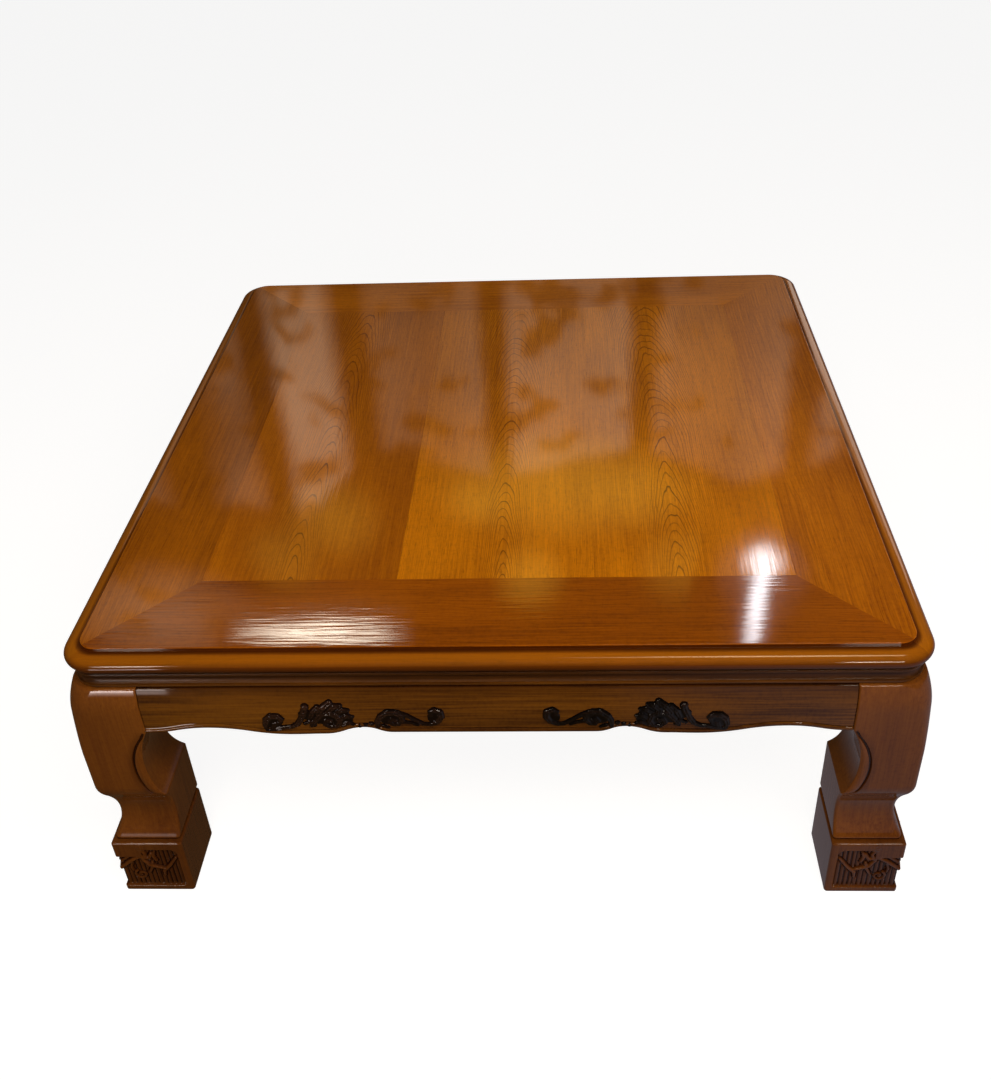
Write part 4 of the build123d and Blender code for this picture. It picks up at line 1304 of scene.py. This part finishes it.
RIM = (
    (-1.9, 2.25), (-1.2, 2.30), (-1.0, 2.39), (-0.717, 2.045), (-0.627, 2.03), (-0.257, 2.175),
    (-0.159, 2.165), (0.307, 2.055), (0.442, 2.10), (0.717, 2.215), (1.108, 2.10), (1.9, 2.0),
)
RIM_LOW = 1.9
RIM_SPAN = 0.5
RIM_BLUR = 0.045
RIM_RAGGED = 0.08
LEFT_SHADE = ((-1.42, 1.9), (0.45, 0.34))
CORNER_HAZE = ((-1.7, 2.88), (0.5, 0.34))
STAINED_GLOW = (1.0, 0.42, 0.1, 1)
CLEAR_GLOW = (1.0, 0.7, 0.46, 1)

screen = glow_panel("glowing_screen", SCREEN_PLACE, SCREEN_SIZE, (90, 0, 0))
spot = own_place(screen)
across, up, _ = split(spot)
up = up + SCREEN_PLACE[2]
share = across * (1 / SCREEN_SIZE[0]) + 0.5
rim = ramp(share, [(x / SCREEN_SIZE[0] + 0.5, (level - RIM_LOW) / RIM_SPAN) for x, level in RIM])
rim = rim * RIM_SPAN + (RIM_LOW - RIM_RAGGED / 2)
rim = rim + noise(spot, (3.0, 3.0, 3.0), 2.0, 4.0) * RIM_RAGGED
light_here = (rim - up) / RIM_BLUR
for post, half in POSTS:
    light_here = light_here.maths("SMOOTH_MIN", (abs(across - post) - half * 0.5) / half, POST_BLUR)
light_here = light_here.maths("MINIMUM", 1.0).maths("MAXIMUM", 0.0)

spots = ramp(noise(spot, (5.5, 7.0, 5.5), 2.0, 9.0), [(0.36, 0.0), (0.45, 1.0)])
darkenings = (spots * 0.65 + 0.35) * span(up, 1.25, 1.85, 0.35, 1.0)
panes = ramp(share, [(x / SCREEN_SIZE[0] + 0.5, level / PANE_FULL) for x, level in PANES])
light_here = light_here * darkenings * (panes * PANE_LIGHT)
light_here = light_here * (1 - soft_blob((across, up), *LEFT_SHADE) * 0.85)
light_here = light_here + soft_blob((across, up), *CORNER_HAZE) * 1.5
feed(screen, {
    "Emission Color": blend(spots, STAINED_GLOW, CLEAR_GLOW), "Emission Strength": light_here,
})

golden = blobs_on((across, up), GOLDEN_GLOWS)
golden = put("ShaderNodeEmission", {"Color": GOLDEN, "Strength": golden})
both = put("ShaderNodeAddShader", {0: Value(screen.outputs[0]), 1: golden})
feed(screen.id_data.nodes["Material Output"], {"Surface": both})
print("screen glows between", len(POSTS), "posts, with", len(GOLDEN_GLOWS), "golden glows")

# %% [markdown]
# ## The camera
# The view is from above the front edge, a little to the right, with a normal lens. Its place was
# found from the corners of the top and the feet, whose real places are known.

# %% Place the camera
IMAGE_HEIGHT_PX = 1080.0
IMAGE_WIDTH_PX = 991.0
FOCAL_PX = 1136.842
CENTRE_X_PX = 516.041
CENTRE_Y_PX = 458.218
SENSOR = 36.0
camera_right = (0.998797, 0.030412, -0.038470)
camera_down = (-0.014844, -0.560174, -0.828242)
camera_forward = (-0.046739, 0.827817, -0.559049)
camera_place = (0.073468, -1.135994, 1.042078)

lens = bpy.data.cameras.new("camera")
lens.sensor_fit = "VERTICAL"
lens.sensor_height = SENSOR
lens.lens = FOCAL_PX * SENSOR / IMAGE_HEIGHT_PX
lens.shift_x = (IMAGE_WIDTH_PX / 2 - CENTRE_X_PX) / IMAGE_HEIGHT_PX
lens.shift_y = (CENTRE_Y_PX - IMAGE_HEIGHT_PX / 2) / IMAGE_HEIGHT_PX
camera = bpy.data.objects.new("camera", lens)
bpy.context.scene.collection.objects.link(camera)
turned = np.stack([camera_right, -np.array(camera_down), -np.array(camera_forward)], axis=1)
rows = [(*row, place) for row, place in zip(turned, camera_place)]
camera.matrix_world = Matrix(rows + [(0, 0, 0, 1)])
bpy.context.scene.camera = camera
print("camera lens", round(lens.lens, 2), "mm")
